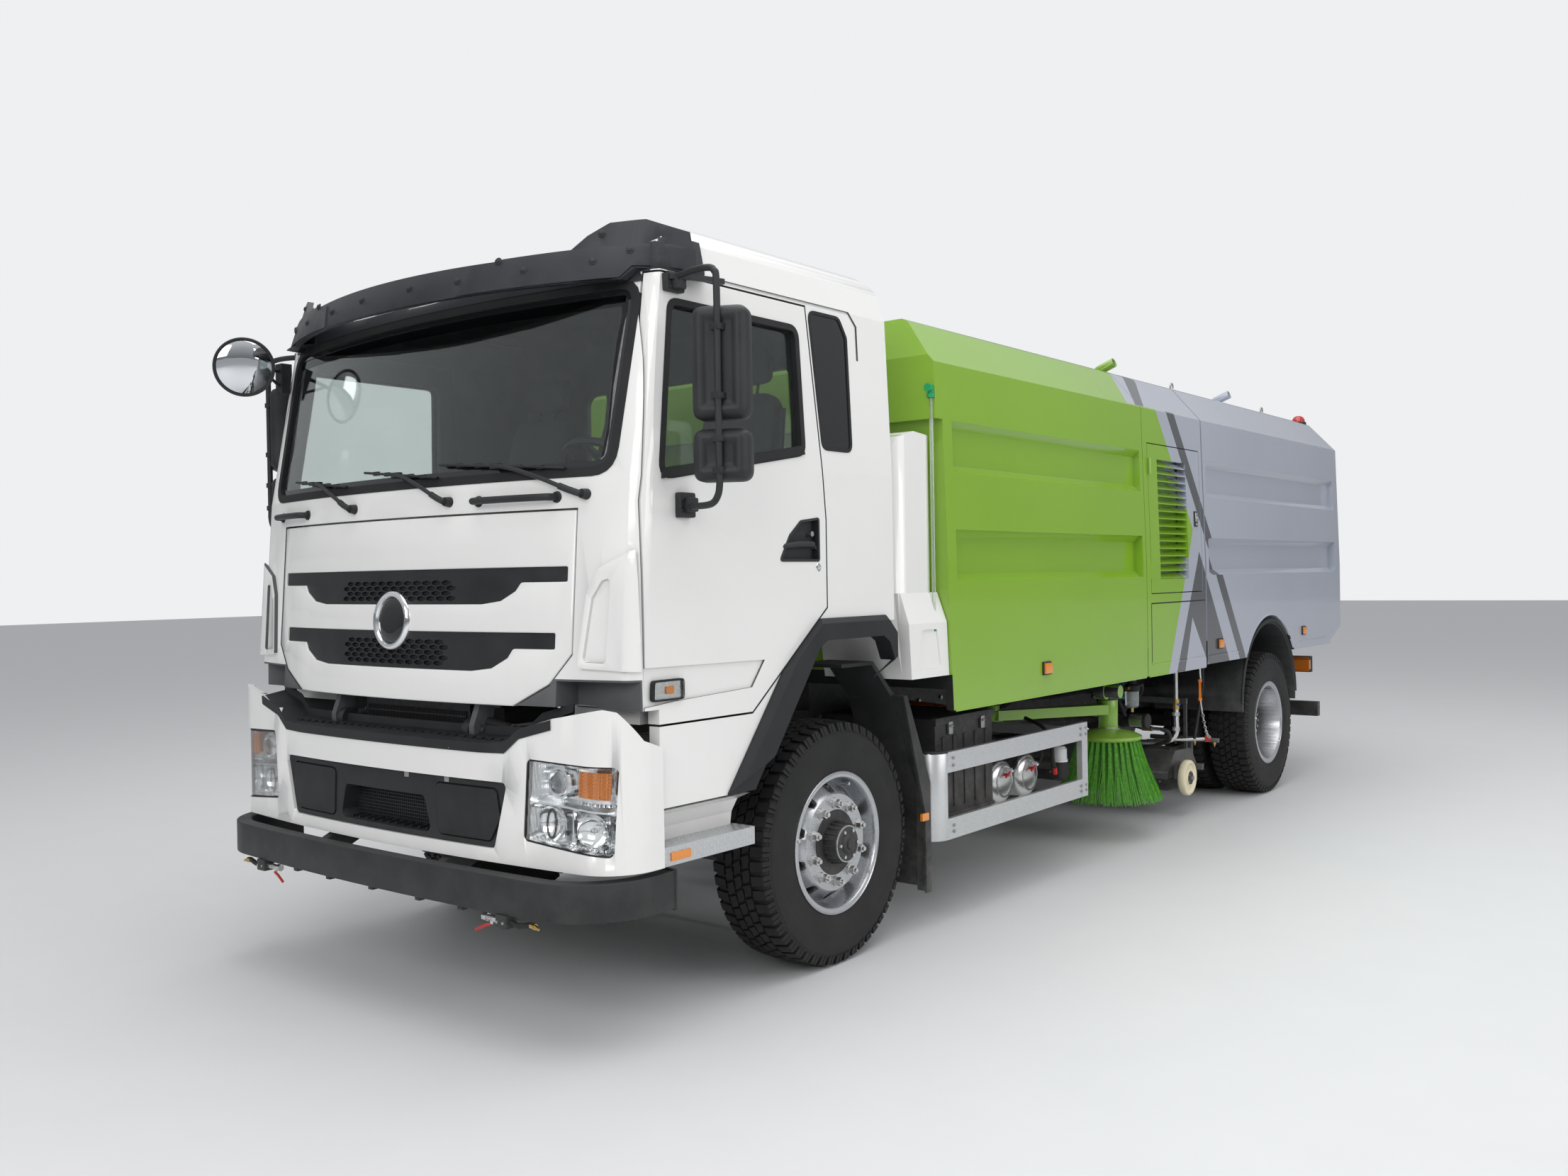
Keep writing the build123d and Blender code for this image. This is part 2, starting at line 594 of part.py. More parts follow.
def front_rim(x):
    # barrel, sloping web, flat ring for the studs, and the hub with its cap
    out = flange_width / 2
    face = out - 14
    hub = out + 52
    bore = spindle_radius + running_gap
    profile = [(-out, barrel_radius), (-out, flange_radius), (out, flange_radius), (out, barrel_radius + 10),
               (face - 78, 262), (face, stud_circle + 38), (face, stud_circle - 28),
               (face - 26, stud_circle - 28), (face - 26, 78), (hub, 78), (hub, bore), (-30, bore),
               (-30, 112), (face - 44, 112), (face - 44, stud_circle - 16), (face - 18, stud_circle - 16),
               (face - 18, stud_circle + 32), (face - 92, 254), (face - 92, barrel_radius)]
    return turned(profile, x, 0, axle_height) - hand_holes(x + face - 60, 232)


def rear_rims():
    outer = rear_outer_tyre_x
    mid = outer - dual_spacing / 2
    half = flange_width / 2
    bore = spindle_radius + running_gap
    # offsets along X from the plane where the two discs meet
    far = dual_spacing / 2 + half
    near = dual_spacing / 2 - half
    hub = 178
    profile = [(-far, barrel_radius), (-far, flange_radius), (-near, flange_radius), (-near, barrel_radius),
               (near, barrel_radius), (near, flange_radius), (far, flange_radius), (far, barrel_radius),
               (near + 24, barrel_radius), (12, 226), (12, 110), (hub, 110), (hub, bore), (-100, bore),
               (-100, 110), (-12, 110), (-12, 226), (-near - 24, barrel_radius)]
    return Pos(0, wheelbase, 0) * (turned(profile, mid, 0, axle_height) - hand_holes(mid, 188))


def rear_axle():
    tube = rod((-560, wheelbase, axle_height), (560, wheelbase, axle_height), 78)
    bowl = rod((-120, wheelbase, axle_height), (120, wheelbase, axle_height), 215)
    bowl += rod((0, wheelbase, axle_height), (0, wheelbase + 235, axle_height), 150)
    nose = rod((0, wheelbase - 330, axle_height), (0, wheelbase, axle_height), 105)
    spindle = rod((-1085, wheelbase, axle_height), (1085, wheelbase, axle_height), spindle_radius)
    seat = brick((385, 475), (wheelbase - 80, wheelbase + 80), (axle_height + 60, axle_height + 96))
    return tube + bowl + nose + spindle + both_sides(seat)


def leaf_springs():
    springs = []
    for middle, seat, half_length in ((0, 500, 800), (wheelbase, axle_height + 96, 800)):
        eye = rail_bottom - 40
        outline = [(middle - half_length, eye - 8), (middle, seat), (middle + half_length, eye - 8),
                   (middle + half_length, eye + 8), (middle + 90, seat + 62), (middle - 90, seat + 62),
                   (middle - half_length, eye + 8)]
        leaf = side_form(outline, (393, 467))
        for end in (-half_length, half_length):
            leaf += rod((393, middle + end, eye), (467, middle + end, eye), 30)
            leaf += side_form([(middle + end - 40, eye), (middle + end + 40, eye),
                               (middle + end + 60, rail_bottom), (middle + end - 60, rail_bottom)],
                              (380, 480))
        springs.append(leaf)
    both = springs[0] + springs[1]
    return both + other_side(both)


def drive_motor():
    motor = rod((0, 1760, 640), (0, 2380, 640), 210)
    motor += brick((-345, 345), (1900, 1980), (600, 700)) + brick((-345, 345), (2200, 2280), (600, 700))
    motor += rod((0, 2380, 640), (0, 2520, 640), 120)
    shaft = rod((0, 2520, 640), (0, wheelbase - 200, axle_height - 6), 45)
    shaft = shaft & brick((-100, 100), (2000, wheelbase - 330), (300, 900))
    return motor + shaft


def battery_boxes():
    return both_sides(brick((rail_outer_x, 1105), (870, 1420), (470, 960)))


def air_tanks():
    tank = rod((600, 1600, 560), (1040, 1600, 560), 118) + rod((1040, 1600, 560), (1075, 1600, 560), 84)
    second = Pos(0, 280, 0) * tank
    strap = brick((rail_outer_x, 640), (1580, 1620), (540, 580)) + brick((rail_outer_x, 640), (1860, 1900),
                                                                         (540, 580))
    return both_sides(tank + second + strap + brick((rail_outer_x, 460), (1540, 1940), (500, 760)))


def cooling_pack():
    core = brick((-345, 345), (-1300, -1215), (rail_bottom, 1190))
    core += brick((-345, 345), (-1215, -1130), (rail_bottom + 20, 1160))
    return core


def side_guards():
    front, rear = 690, 2283
    rails = brick((1195, 1220), (front + 100, rear), (722, 820)) + brick((1195, 1220), (front + 100, rear),
                                                                         (405, 505))
    plate = brick((1190, 1222), (rear - 72, rear), (405, 820))
    arc = make_face(
        ThreePointArc((1220, front + 100), (1190, front + 29), (1120, front)).edges()
        + Line((1120, front), (1120, front + 25)).edges()
        + ThreePointArc((1120, front + 25), (1172, front + 47), (1195, front + 100)).edges()
        + Line((1195, front + 100), (1220, front + 100)).edges())
    post = extrude(Pos(0, 0, 405) * arc, 415, dir=(0, 0, 1))
    guard = rails + plate + post
    for station in (1480, rear - 60):
        guard += brick((rail_outer_x, 1200), (station, station + 40), (735, 790))
    return both_sides(guard)


def wheel_guards():
    # front guard: a bent sheet behind the wheel with its flap; rear guard: an arch over the twin tyres
    sheet = [(90, 1262), (318, 1262), (476, 1100), (715, 560), (745, 180), (760, 180), (735, 568),
             (500, 1112), (330, 1278), (90, 1278)]
    front = side_form(sheet, (870, 1120))
    ear = side_form([(470, 1112), (500, 1112), (684, 690), (684, 180), (640, 180), (636, 560)],
                    (1120, front_guard_x))
    ear -= side_form([(460, 1100), (484, 1100), (668, 688), (668, 170), (630, 170), (590, 560)],
                     (1110, front_guard_x - 12))
    front += ear
    stay = brick((rail_outer_x, 880), (540, 580), (900, 940))
    outer = body_half_width - 15
    centre = axle_height + 168
    arch = rod((600, wheelbase, centre), (outer, wheelbase, centre), 592)
    arch -= rod((590, wheelbase, centre), (outer + 10, wheelbase, centre), 566)
    arch = arch & brick((500, outer + 50), (wheelbase - 700, wheelbase + 700), (650, 1400))
    arch += brick((rail_outer_x, 620), (wheelbase - 588, wheelbase - 560), (720, 800))
    arch += brick((rail_outer_x, 620), (wheelbase + 560, wheelbase + 588), (720, 800))
    return both_sides(front + stay + arch)


def entry_steps():
    # tread tray with a curved white panel above it, under each door
    tray = brick((1000, 1228), (-1150, -640), (636, step_tread))
    tray -= brick((990, 1190), (-1120, -670), (630, step_tread - 8))
    panel = front_form([(1000, step_tread - 4), (1120, step_tread - 4), (1128, step_tread + 50),
                        (1160, step_tread + 105), (1222, 836), (1000, 836)], (-1150, -660))
    panel -= brick((990, 1100), (-1120, -690), (step_tread + 10, 830))
    bracket = brick((rail_outer_x, 1010), (-1000, -930), (640, 730))
    return both_sides(tray + panel + bracket)


def tank_fairings():
    # white towers that close the gap between the cab and the body, each with a flared foot
    outer = body_half_width - 60
    flare = body_half_width - 15
    tower = plan_form([(700, 392), (outer, 392), (outer, 745), (700, 745)], (fairing_foot, fairing_top + 10),
                      90)
    tower = tower & side_form([(450, fairing_foot), (745, fairing_foot), (745, fairing_top - 90),
                               (690, fairing_top - 10), (560, fairing_top + 2), (440, fairing_top - 30),
                               (392, fairing_top - 120), (392, fairing_step)], (outer - 445, outer + 10))
    foot = side_form([(448, fairing_foot), (770, fairing_foot), (745, fairing_step), (420, fairing_step)],
                     (900, flare))
    foot -= brick((outer - 5, flare + 10), (400, 800), (fairing_step - 140, fairing_step + 20))
    slope = front_form([(flare, fairing_step - 140), (outer, fairing_step), (outer - 10, fairing_step),
                        (outer - 10, fairing_step - 140)], (430, 755))
    foot += slope & side_form([(430, fairing_step - 150), (755, fairing_step - 150), (745, fairing_step),
                               (420, fairing_step)], (outer - 15, flare + 10))
    # sunk four-sided panel in the flared foot
    panel = side_form([(500, fairing_foot + 40), (700, fairing_foot + 40), (670, fairing_step - 170),
                       (540, fairing_step - 170)], (flare - 8, flare + 10), 12)
    return both_sides(tower + foot - panel)


def body_section(half, skirt):
    # cross section of the body: skirt, leaning side, eave, sloping shoulder, ridge and flat top
    return mirrored_outline([(half, skirt), (half, 1700), (half - body_lean, body_eave),
                             (ridge_half_width + 20, ridge_height - 20),
                             (ridge_half_width - 20, ridge_height)])


def rib_cut(start, end, low, high):
    # a long shallow channel pressed into the side panel
    profile = [(body_half_width + 30, high + 38), (body_half_width - 20, high + 38),
               (body_half_width - rib_depth - 18, high), (body_half_width - rib_depth - 18, low),
               (body_half_width - 20, low - 38), (body_half_width + 30, low - 38)]
    cut = front_form(profile, (start, end))
    return both_sides(cut)


def body_block(front, rear, skirt):
    block = front_form(body_section(body_half_width, skirt), (front, rear))
    # space below the floor between the side skirts
    block -= brick((-body_half_width + 40, body_half_width - 40), (front - 10, rear + 10), (900, body_floor))
    return block


def water_tank():
    tank = body_block(tank_front, tank_rear, body_skirt)
    tank = tank & side_form([(tank_front + 100, 900), (tank_rear, 900), (tank_rear, 3000),
                             (tank_front + 130, 3000), (tank_front, 2690), (tank_front, 2390),
                             (tank_front + 60, 2390), (tank_front + 60, 1600)],
                            (-1400, 1400))
    for low, high in ((2180, 2350), (1665, 1835)):
        tank -= rib_cut(tank_front + 140, tank_rear - 45, low, high)
    # filling stub below the floor on the driver's side, with a collar where the hose coupling stops
    bend = (filler_collar_x - 70, filler_station, filler_height)
    collar = (filler_collar_x, filler_station, filler_height)
    stub = rod(bend, (bend[0], filler_station, body_floor + 10), filler_radius + 2)
    stub += rod(bend, collar, filler_radius + 12)
    stub += rod(collar, (filler_end_x, filler_station, filler_height), filler_radius)
    return tank + stub


def louvre_prism(gap, x_span):
    y0, y1, z0, z1 = louvre_door
    return brick(x_span, (y0 - gap, y1 + gap), (z0 - gap, z1 + gap))


def vent_pipe(station):
    # bent overflow pipe on the roof, open at its end
    foot, bend, mouth = (Vector(820, station, ridge_height + rise) for rise in (-20, 64, 105))
    mouth = mouth + Vector(105, 0, 0)
    hollow = rod(foot + Vector(0, 0, 40), bend, 25) + rod(bend, mouth + (mouth - bend), 25)
    return rod(foot, bend, 30) + Pos(*bend) * Sphere(30) + rod(bend, mouth, 30) - hollow


def fan_compartment():
    body = body_block(tank_rear + 6, fan_rear, body_skirt)
    body -= both_sides(louvre_prism(6, (body_half_width - door_skin - 35, body_half_width + 40)))
    return body + vent_pipe(tank_rear + 335)


def louvre_doors():
    body = body_block(tank_rear + 6, fan_rear, body_skirt)
    slab = body & louvre_prism(0, (body_half_width - door_skin - 28, body_half_width + 40))
    # sloping blades in a framed opening
    y0, y1, z0, z1 = louvre_grid
    panel = slab - brick((body_half_width - 165, body_half_width + 135), (y0, y1), (z0, z1))
    pitch = (z1 - z0) / louvre_count
    inner = body_half_width - door_skin - 6
    outer = body_half_width - 12
    for k in range(louvre_count):
        z = z0 + pitch * k
        blade = front_form([(inner, z + pitch * 0.62), (outer, z + 2), (outer, z + 8),
                            (inner, z + pitch * 0.62 + 8)], (y0, y1))
        panel += blade
    return panel


def debris_tank():
    tank = body_block(hopper_front, hopper_rear, 1034)
    tank = tank & side_form([(hopper_front, 900), (hopper_rear - 228, 1000), (hopper_rear - 228, 1063),
                             (hopper_rear, 1140), (hopper_rear, 3000),
                             (hopper_front, 3000)], (-1400, 1400))
    for low, high in ((2180, 2350), (1665, 1835)):
        tank -= rib_cut(hopper_front + 50, hopper_rear - 60, low, high)
    arch = rod((560, wheelbase, axle_height + 168), (body_half_width + 35, wheelbase, axle_height + 168),
               632)
    tank -= both_sides(arch)
    # dump lugs at the rear and ears for the lift cylinders
    lug = side_form([(dump_station - 150, body_floor), (dump_station - 44, dump_height),
                     (dump_station + 44, dump_height), (dump_station + 110, body_floor + 20)],
                    (rail_outer_x + 32, rail_outer_x + 62))
    lug += rod((rail_outer_x + 32, dump_station, dump_height),
               (rail_outer_x + 62, dump_station, dump_height), 44)
    lug -= rod((rail_outer_x + 20, dump_station, dump_height),
               (rail_outer_x + 90, dump_station, dump_height), 22 + running_gap)
    ear = side_form([(lift_eye[0] - 120, body_floor), (lift_eye[0] - 36, lift_eye[1]),
                     (lift_eye[0] + 36, lift_eye[1]), (lift_eye[0] + 120, body_floor)],
                    (lift_x - 62, lift_x - 42))
    ear += rod((lift_x - 62, *lift_eye), (lift_x - 42, *lift_eye), 36)
    ears = ear + Pos(104, 0, 0) * ear
    return tank + both_sides(lug + ears) + vent_pipe(hopper_front + 1425)


def tail_door():
    plate = front_form(mirrored_outline([(body_half_width - 6, 1150), (body_half_width - 6, 1700),
                                         (body_half_width - body_lean - 6, body_eave),
                                         (ridge_half_width + 10, ridge_height - 30),
                                         (ridge_half_width - 30, ridge_height - 10)]),
                       (hopper_rear + 6, hopper_rear + 6 + tail_thick))
    return plate


def lift_angle():
    return math.degrees(math.atan2(lift_eye[1] - lift_base[1], lift_eye[0] - lift_base[0]))


def along_lift(shape):
    # a shape drawn along +Y from the cylinder's base pin
    return Pos(lift_x, lift_base[0], lift_base[1]) * Rot(lift_angle(), 0, 0) * shape


def lift_cylinders():
    length = math.hypot(lift_eye[0] - lift_base[0], lift_eye[1] - lift_base[1])
    barrel = rod((0, 0, 0), (0, length - 110, 0), 58)
    barrel += rod((-40, 0, 0), (40, 0, 0), 58)
    barrel -= rod((0, 200, 0), (0, length, 0), 32 + 1)
    barrel -= rod((-60, 0, 0), (60, 0, 0), 32 + running_gap)
    piston = rod((0, 210, 0), (0, length, 0), 32)
    piston += rod((-34, length, 0), (34, length, 0), 40)
    piston -= rod((-60, length, 0), (60, length, 0), 20)
    return both_sides(along_lift(barrel)), both_sides(along_lift(piston))


def brush_arm():
    # swinging arm: root sleeve on a bracket, beam out to the motor over the brush
    root = rod((*brush_arm_root, 740), (*brush_arm_root, 860), 45)
    beam = Pos(0, 0, 0) * plan_form([(brush_arm_root[0] - 20, brush_arm_root[1] - 40),
                                     (brush_arm_root[0] + 60, brush_arm_root[1] - 30),
                                     (brush_centre[0] + 50, brush_centre[1] - 20),
                                     (brush_centre[0] + 30, brush_centre[1] + 60),
                                     (brush_centre[0] - 60, brush_centre[1] + 50)], (770, 830))
    motor = rod((*brush_centre, 690), (*brush_centre, 860), 60)
    arm = root + beam + motor
    arm -= rod((*brush_arm_root, 700), (*brush_arm_root, 900), 20 + running_gap)
    shaft = rod((*brush_centre, 610), (*brush_centre, 700), shaft_radius)
    return arm + shaft


def brush():
    # flat disc over one cone of bristles
    hub = shaft_radius + running_gap
    disc = revolve(Plane.XZ * make_face(Polyline((hub, 655), (hub, 685), (205, 685), (205, 640), (150, 640),
                                                 (150, 655), close=True)), Axis.Z)
    bristles = revolve(Plane.XZ * make_face(Polyline((0, brush_low), (brush_radius, brush_low), (205, 640),
                                                     (0, 640), close=True)), Axis.Z)
    bristles -= Pos(0, 0, 640) * Cylinder(shaft_radius + 5, 100)
    return Pos(*brush_centre, 0) * (disc + bristles)


def brush_bracket():
    fork = brick((rail_outer_x, brush_arm_root[0] + 30), (brush_arm_root[1] - 40, brush_arm_root[1] + 40),
                 (705, 735))
    fork += brick((rail_outer_x, brush_arm_root[0] + 30), (brush_arm_root[1] - 40, brush_arm_root[1] + 40),
                  (865, 895))
    fork += rod((*brush_arm_root, 705), (*brush_arm_root, 895), 20)
    return both_sides(fork)


def suction_nozzle():
    # wide hood with a sloping roof, its duct up to the debris tank, caster forks and spray tubes
    front, rear = nozzle_station - nozzle_half_length, nozzle_station + nozzle_half_length
    hood = side_form([(front, 190), (rear, 190), (rear, 300), (rear - 100, 420), (front + 140, 430),
                      (front, 300)],
                     (-1000, 1000), 20)
    hood -= side_form([(front + 40, 150), (rear - 40, 150), (rear - 40, 290), (rear - 120, 385),
                       (front + 160, 390), (front + 40, 290)], (-960, 960))
    duct = rod((-640, nozzle_station + 30, 400), (-640, nozzle_station + 30, body_floor - 8), 125)
    fork = brick((1000, caster_x + 46), (caster_station + 150, caster_station + 180), (300, 340))
    arm = brick((1030, 1060), (caster_station - 40, caster_station + 180), (250, 340))
    pin = rod((1030, caster_station, caster_height), (caster_x + 40, caster_station, caster_height), 12)
    spray = rod((700, rear - 80, 480), (1190, rear - 80, 480), 16)
    spray += brick((960, 1000), (rear - 100, rear - 60), (380, 480))
    hanger = brick((980, 1000), (rear - 180, rear - 160), (410, 760))
    hanger += brick((rail_outer_x, 1000), (rear - 180, rear - 150), (730, 770))
    return hood + both_sides(fork + arm + pin + spray + hanger) + duct


def caster():
    x, y, z = caster_x, caster_station, caster_height
    wheel = rod((x - 24, y, z), (x + 24, y, z), caster_radius) - rod((x - 30, y, z), (x + 30, y, z),
                                                                     12 + running_gap)
    return wheel


def rear_bumper():
    bar = brick((-1180, 1180), (rail_rear - 80, rail_rear - 20), (430, 550))
    leg = side_form([(rail_rear - 140, 500), (rail_rear - 20, 500), (rail_rear - 20, rail_bottom + 60),
                     (rail_rear - 220, rail_bottom + 60)], (432, 472))
    # towing jaw: a slotted block with an upright bore for the pin
    jaw = brick((-70, 70), (rail_rear - 40, rail_rear + 90), (jaw_height - 50, jaw_height + 50))
    jaw -= brick((-80, 80), (rail_rear - 5, rail_rear + 120), (jaw_height - 25, jaw_height + 25))
    jaw -= rod((0, rail_rear + 45, jaw_height - 90), (0, rail_rear + 45, jaw_height + 90), jaw_bore_radius)
    return bar + both_sides(leg) + jaw


def tail_lamps():
    lamp = brick((700, 1120), (rail_rear - 90, rail_rear - 30), (800, 920))
    bar = brick((rail_outer_x + 26, 1130), (rail_rear - 120, rail_rear - 90), (820, 900))
    return both_sides(lamp + bar)


def save(name, shape):
    moved = Pos(0, front_axle_y, 0) * shape
    moved.label = name
    export_step(moved, "parts/" + name + ".step")


os.makedirs("parts", exist_ok=True)

shell, door, door_pane, flap, grille, glass = cab()
bumper_shell, bumper_insert, headlamps = bumper()
barrels, pistons = lift_cylinders()

pieces = {
    "frame_rails": frame_rails() + brush_bracket(),
    "front_axle": front_axle(),
    "rear_axle": rear_axle(),
    "leaf_springs": leaf_springs(),
    "drive_motor": drive_motor(),
    "battery_boxes": battery_boxes(),
    "air_tanks": air_tanks(),
    "cooling_pack": cooling_pack(),
    "front_bumper": bumper_shell,
    "bumper_insert": bumper_insert,
    "headlamps": headlamps,
    "front_spray_bar": spray_bar(),
    "side_guards": side_guards(),
    "wheel_guards": wheel_guards(),
    "entry_steps": entry_steps(),
    "tank_fairings": tank_fairings(),
    "water_tank": water_tank(),
    "fan_compartment": fan_compartment(),
    "suction_nozzle": suction_nozzle(),
    "rear_bumper": rear_bumper(),
    "tail_lamps": tail_lamps(),
    "debris_tank": debris_tank(),
    "tail_door": tail_door(),
    "lift_barrels": barrels,
    "lift_rods": pistons,
    "cab_shell": shell,
    "cab_glass": glass,
    "sun_visor": sun_visor(),
    "seats": seats(),
    "dashboard": dashboard(),
    "wheel_flares": wheel_flares(),
    "wipers": Compound(children=wipers()),
    "front_flap": flap,
    "grille": grille,
    "front_mirror": front_mirror(),
    "tie_rod": tie_rod(),
}

# pieces that come as a left one and its mirror image
pairs = {
    "louvre_door": louvre_doors(),
    "brush_arm": brush_arm(),
    "brush": brush(),
    "caster": caster(),
    "door": door,
    "door_glass": door_pane,
    "mirror": mirrors(),
    "knuckle": knuckle(),
    "rim_front": front_rim(front_tyre_x),
    "tyre_front": tyre(front_tyre_x),
    "rim_rear": rear_rims(),
    "tyre_rear": Pos(0, wheelbase, 0) * (tyre(rear_outer_tyre_x) + tyre(rear_outer_tyre_x - dual_spacing)),
}
for name, left in pairs.items():
    pieces[name + "_left"] = left
    pieces[name + "_right"] = other_side(left)

for name, piece in pieces.items():
    save(name, piece)
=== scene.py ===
import math
import random

import bmesh
import bpy
from mathutils import Matrix, Vector


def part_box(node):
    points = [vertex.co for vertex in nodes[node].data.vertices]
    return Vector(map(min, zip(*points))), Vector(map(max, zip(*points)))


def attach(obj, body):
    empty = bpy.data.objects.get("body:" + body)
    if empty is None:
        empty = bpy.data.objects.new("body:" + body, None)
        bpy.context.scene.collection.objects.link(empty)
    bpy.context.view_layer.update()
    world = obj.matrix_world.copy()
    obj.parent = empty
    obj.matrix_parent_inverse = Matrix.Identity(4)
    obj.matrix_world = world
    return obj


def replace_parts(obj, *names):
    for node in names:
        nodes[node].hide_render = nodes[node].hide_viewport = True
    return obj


# Street sweeper truck. Metres, +Z up, the truck faces -Y and the driver's side is +X.
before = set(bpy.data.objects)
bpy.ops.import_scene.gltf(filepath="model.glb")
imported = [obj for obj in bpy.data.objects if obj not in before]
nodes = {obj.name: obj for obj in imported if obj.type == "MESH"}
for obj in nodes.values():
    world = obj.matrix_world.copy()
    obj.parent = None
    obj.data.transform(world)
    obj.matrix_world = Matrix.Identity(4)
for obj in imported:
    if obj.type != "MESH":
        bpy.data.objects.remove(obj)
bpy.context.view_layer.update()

# Camera. The photo was taken at eye height off the driver's front corner with a wide phone lens.
# Its place and angles were worked out from the wheels, the body's edges and the bumper.
camera_data = bpy.data.cameras.new("photo_camera")
camera_data.sensor_width = 36
camera_data.lens = 29.81
camera_data.clip_end = 200
camera_place = (4.452, -7.244, 1.668)
yaw, pitch, roll = (math.radians(turn) for turn in (38.611, -0.5364, -0.944))
ahead = Vector((-math.sin(yaw) * math.cos(pitch), math.cos(yaw) * math.cos(pitch), math.sin(pitch)))
level = ahead.cross(Vector((0, 0, 1))).normalized()
upright = level.cross(ahead)
right = level * math.cos(roll) + upright * math.sin(roll)
above = upright * math.cos(roll) - level * math.sin(roll)
camera = bpy.data.objects.new("photo_camera", camera_data)
camera.matrix_world = Matrix.Translation(camera_place) @ Matrix((right, above, -ahead)).transposed().to_4x4()
bpy.context.scene.collection.objects.link(camera)
bpy.context.scene.camera = camera

# Studio. An overcast yard becomes three large soft lamps over a plain pale floor, with the world as
# fill. What the camera and the glass see behind the truck is the same pale grey.
bpy.context.scene.view_settings.view_transform = "Standard"


def wire(tree, kind, *values, **settings):
    # a shader node with its settings, fed in order with numbers or with other nodes' sockets
    node = tree.nodes.new("ShaderNode" + kind)
    for name, value in settings.items():
        setattr(node, name, value)
    for place, value in enumerate(values):
        if isinstance(value, bpy.types.NodeSocket):
            tree.links.new(value, node.inputs[place])
        elif value is not None:
            node.inputs[place].default_value = value
    return node


def maths(tree, operation, *values):
    return wire(tree, "Math", *values, operation=operation).outputs[0]


def spot_on(tree):
    # where each point lies in the truck's frame
    return wire(tree, "TexCoord").outputs["Object"]


def noise(tree, *values):
    # cloudy noise over the object, from its scale, detail and roughness
    return wire(tree, "TexNoise", spot_on(tree), None, *values).outputs["Fac"]


world = bpy.data.worlds.new("studio")
world.use_nodes = True
bpy.context.scene.world = world
sky = world.node_tree
sky.nodes.clear()
seen = wire(sky, "LightPath").outputs
straight = maths(sky, "MAXIMUM", seen["Is Camera Ray"], seen["Is Transmission Ray"])
gloss_height = wire(sky, "SeparateXYZ", wire(sky, "TexCoord").outputs["Generated"]).outputs["Z"]
gloss_ramp = wire(sky, "ValToRGB", gloss_height)
for step, position, colour in ((0, 0, (0.3, 0.31, 0.32, 1)), (1, 0.55, (0.95, 0.97, 1, 1))):
    gloss_ramp.color_ramp.elements[step].position = position
    gloss_ramp.color_ramp.elements[step].color = colour
fill = wire(sky, "Background", gloss_ramp.outputs["Color"], 0.62)
backdrop = wire(sky, "Background", (0.86, 0.87, 0.88, 1), 1)
sky_mix = wire(sky, "MixShader", straight, fill.outputs[0], backdrop.outputs[0])
wire(sky, "OutputWorld", sky_mix.outputs[0])

for name, place, target, size, power in (
    ("overhead_lamp", (1, -1, 9), (0, 0.5, 1), (9, 12), 620),
    ("front_lamp", (3.5, -11, 5), (0.5, -2, 1.4), (6, 4), 300),
    ("side_lamp", (11, 0.5, 4.5), (0.5, 1, 1.2), (9, 4), 330),
):
    lamp_data = bpy.data.lights.new(name, "AREA")
    lamp_data.shape = "RECTANGLE"
    lamp_data.size, lamp_data.size_y = size
    lamp_data.energy = power
    lamp = bpy.data.objects.new(name, lamp_data)
    lamp.location = place
    lamp.rotation_euler = (Vector(target) - Vector(place)).to_track_quat("-Z", "Y").to_euler()
    bpy.context.scene.collection.objects.link(lamp)


def surface(name, colour, roughness, metallic=0, coat=0, clear=0):
    # a Principled material with its plain numbers on the shader's own sockets
    material = bpy.data.materials.new(name)
    material.use_nodes = True
    shader = material.node_tree.nodes["Principled BSDF"]
    shader.inputs["Base Color"].default_value = (*colour, 1)
    for socket, value in (("Roughness", roughness), ("Metallic", metallic), ("Coat Weight", coat),
                          ("Coat Roughness", 0.04), ("Transmission Weight", clear)):
        shader.inputs[socket].default_value = value
    return material, material.node_tree, shader


def feed(tree, shader, **sources):
    # links sources to the shader's sockets, whose names are written with underscores
    for socket, source in sources.items():
        tree.links.new(source, shader.inputs[socket.replace("_", " ")])


floor_paint, tree, shader = surface("floor_paint", (0.66, 0.665, 0.67), 0.55)
tone = wire(tree, "Mix", noise(tree, 3, 6), data_type="RGBA")
tone.inputs["A"].default_value = (0.65, 0.655, 0.66, 1)
tone.inputs["B"].default_value = (0.68, 0.685, 0.69, 1)
feed(tree, shader, Base_Color=tone.outputs["Result"])
floor_mesh = bpy.data.meshes.new("floor")
floor_mesh.from_pydata([(-60, -60, 0), (60, -60, 0), (60, 60, 0), (-60, 60, 0)], [], [(0, 1, 2, 3)])
floor_mesh.materials.append(floor_paint)
floor = bpy.data.objects.new("floor", floor_mesh)
bpy.context.scene.collection.objects.link(floor)

# Body shells. Water tank, fan compartment and debris tank are welded steel sheet with pressed
# ribs, sprayed gloss lime in front and silver grey behind, with cut stripes over the joint.
front_axle_y = sum(corner.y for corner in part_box("tyre_front_left")) / 2


def at(x, station, height):
    # stations run rearwards from the front axle
    return Vector((x, station + front_axle_y, height))


def effect(name, inputs, outputs):
    # an empty node group with its named sockets
    group = bpy.data.node_groups.new(name, "ShaderNodeTree")
    for socket, value in inputs:
        made = group.interface.new_socket(socket, in_out="INPUT", socket_type="NodeSocketFloat")
        made.default_value = value
    for socket in outputs:
        group.interface.new_socket(socket, in_out="OUTPUT", socket_type="NodeSocketFloat")
    return group, group.nodes.new("NodeGroupInput"), group.nodes.new("NodeGroupOutput")


def use(tree, group, **values):
    # an effect placed in a material with its own values
    node = tree.nodes.new("ShaderNodeGroup")
    node.node_tree = group
    for socket, value in values.items():
        node.inputs[socket].default_value = value
    return node.outputs


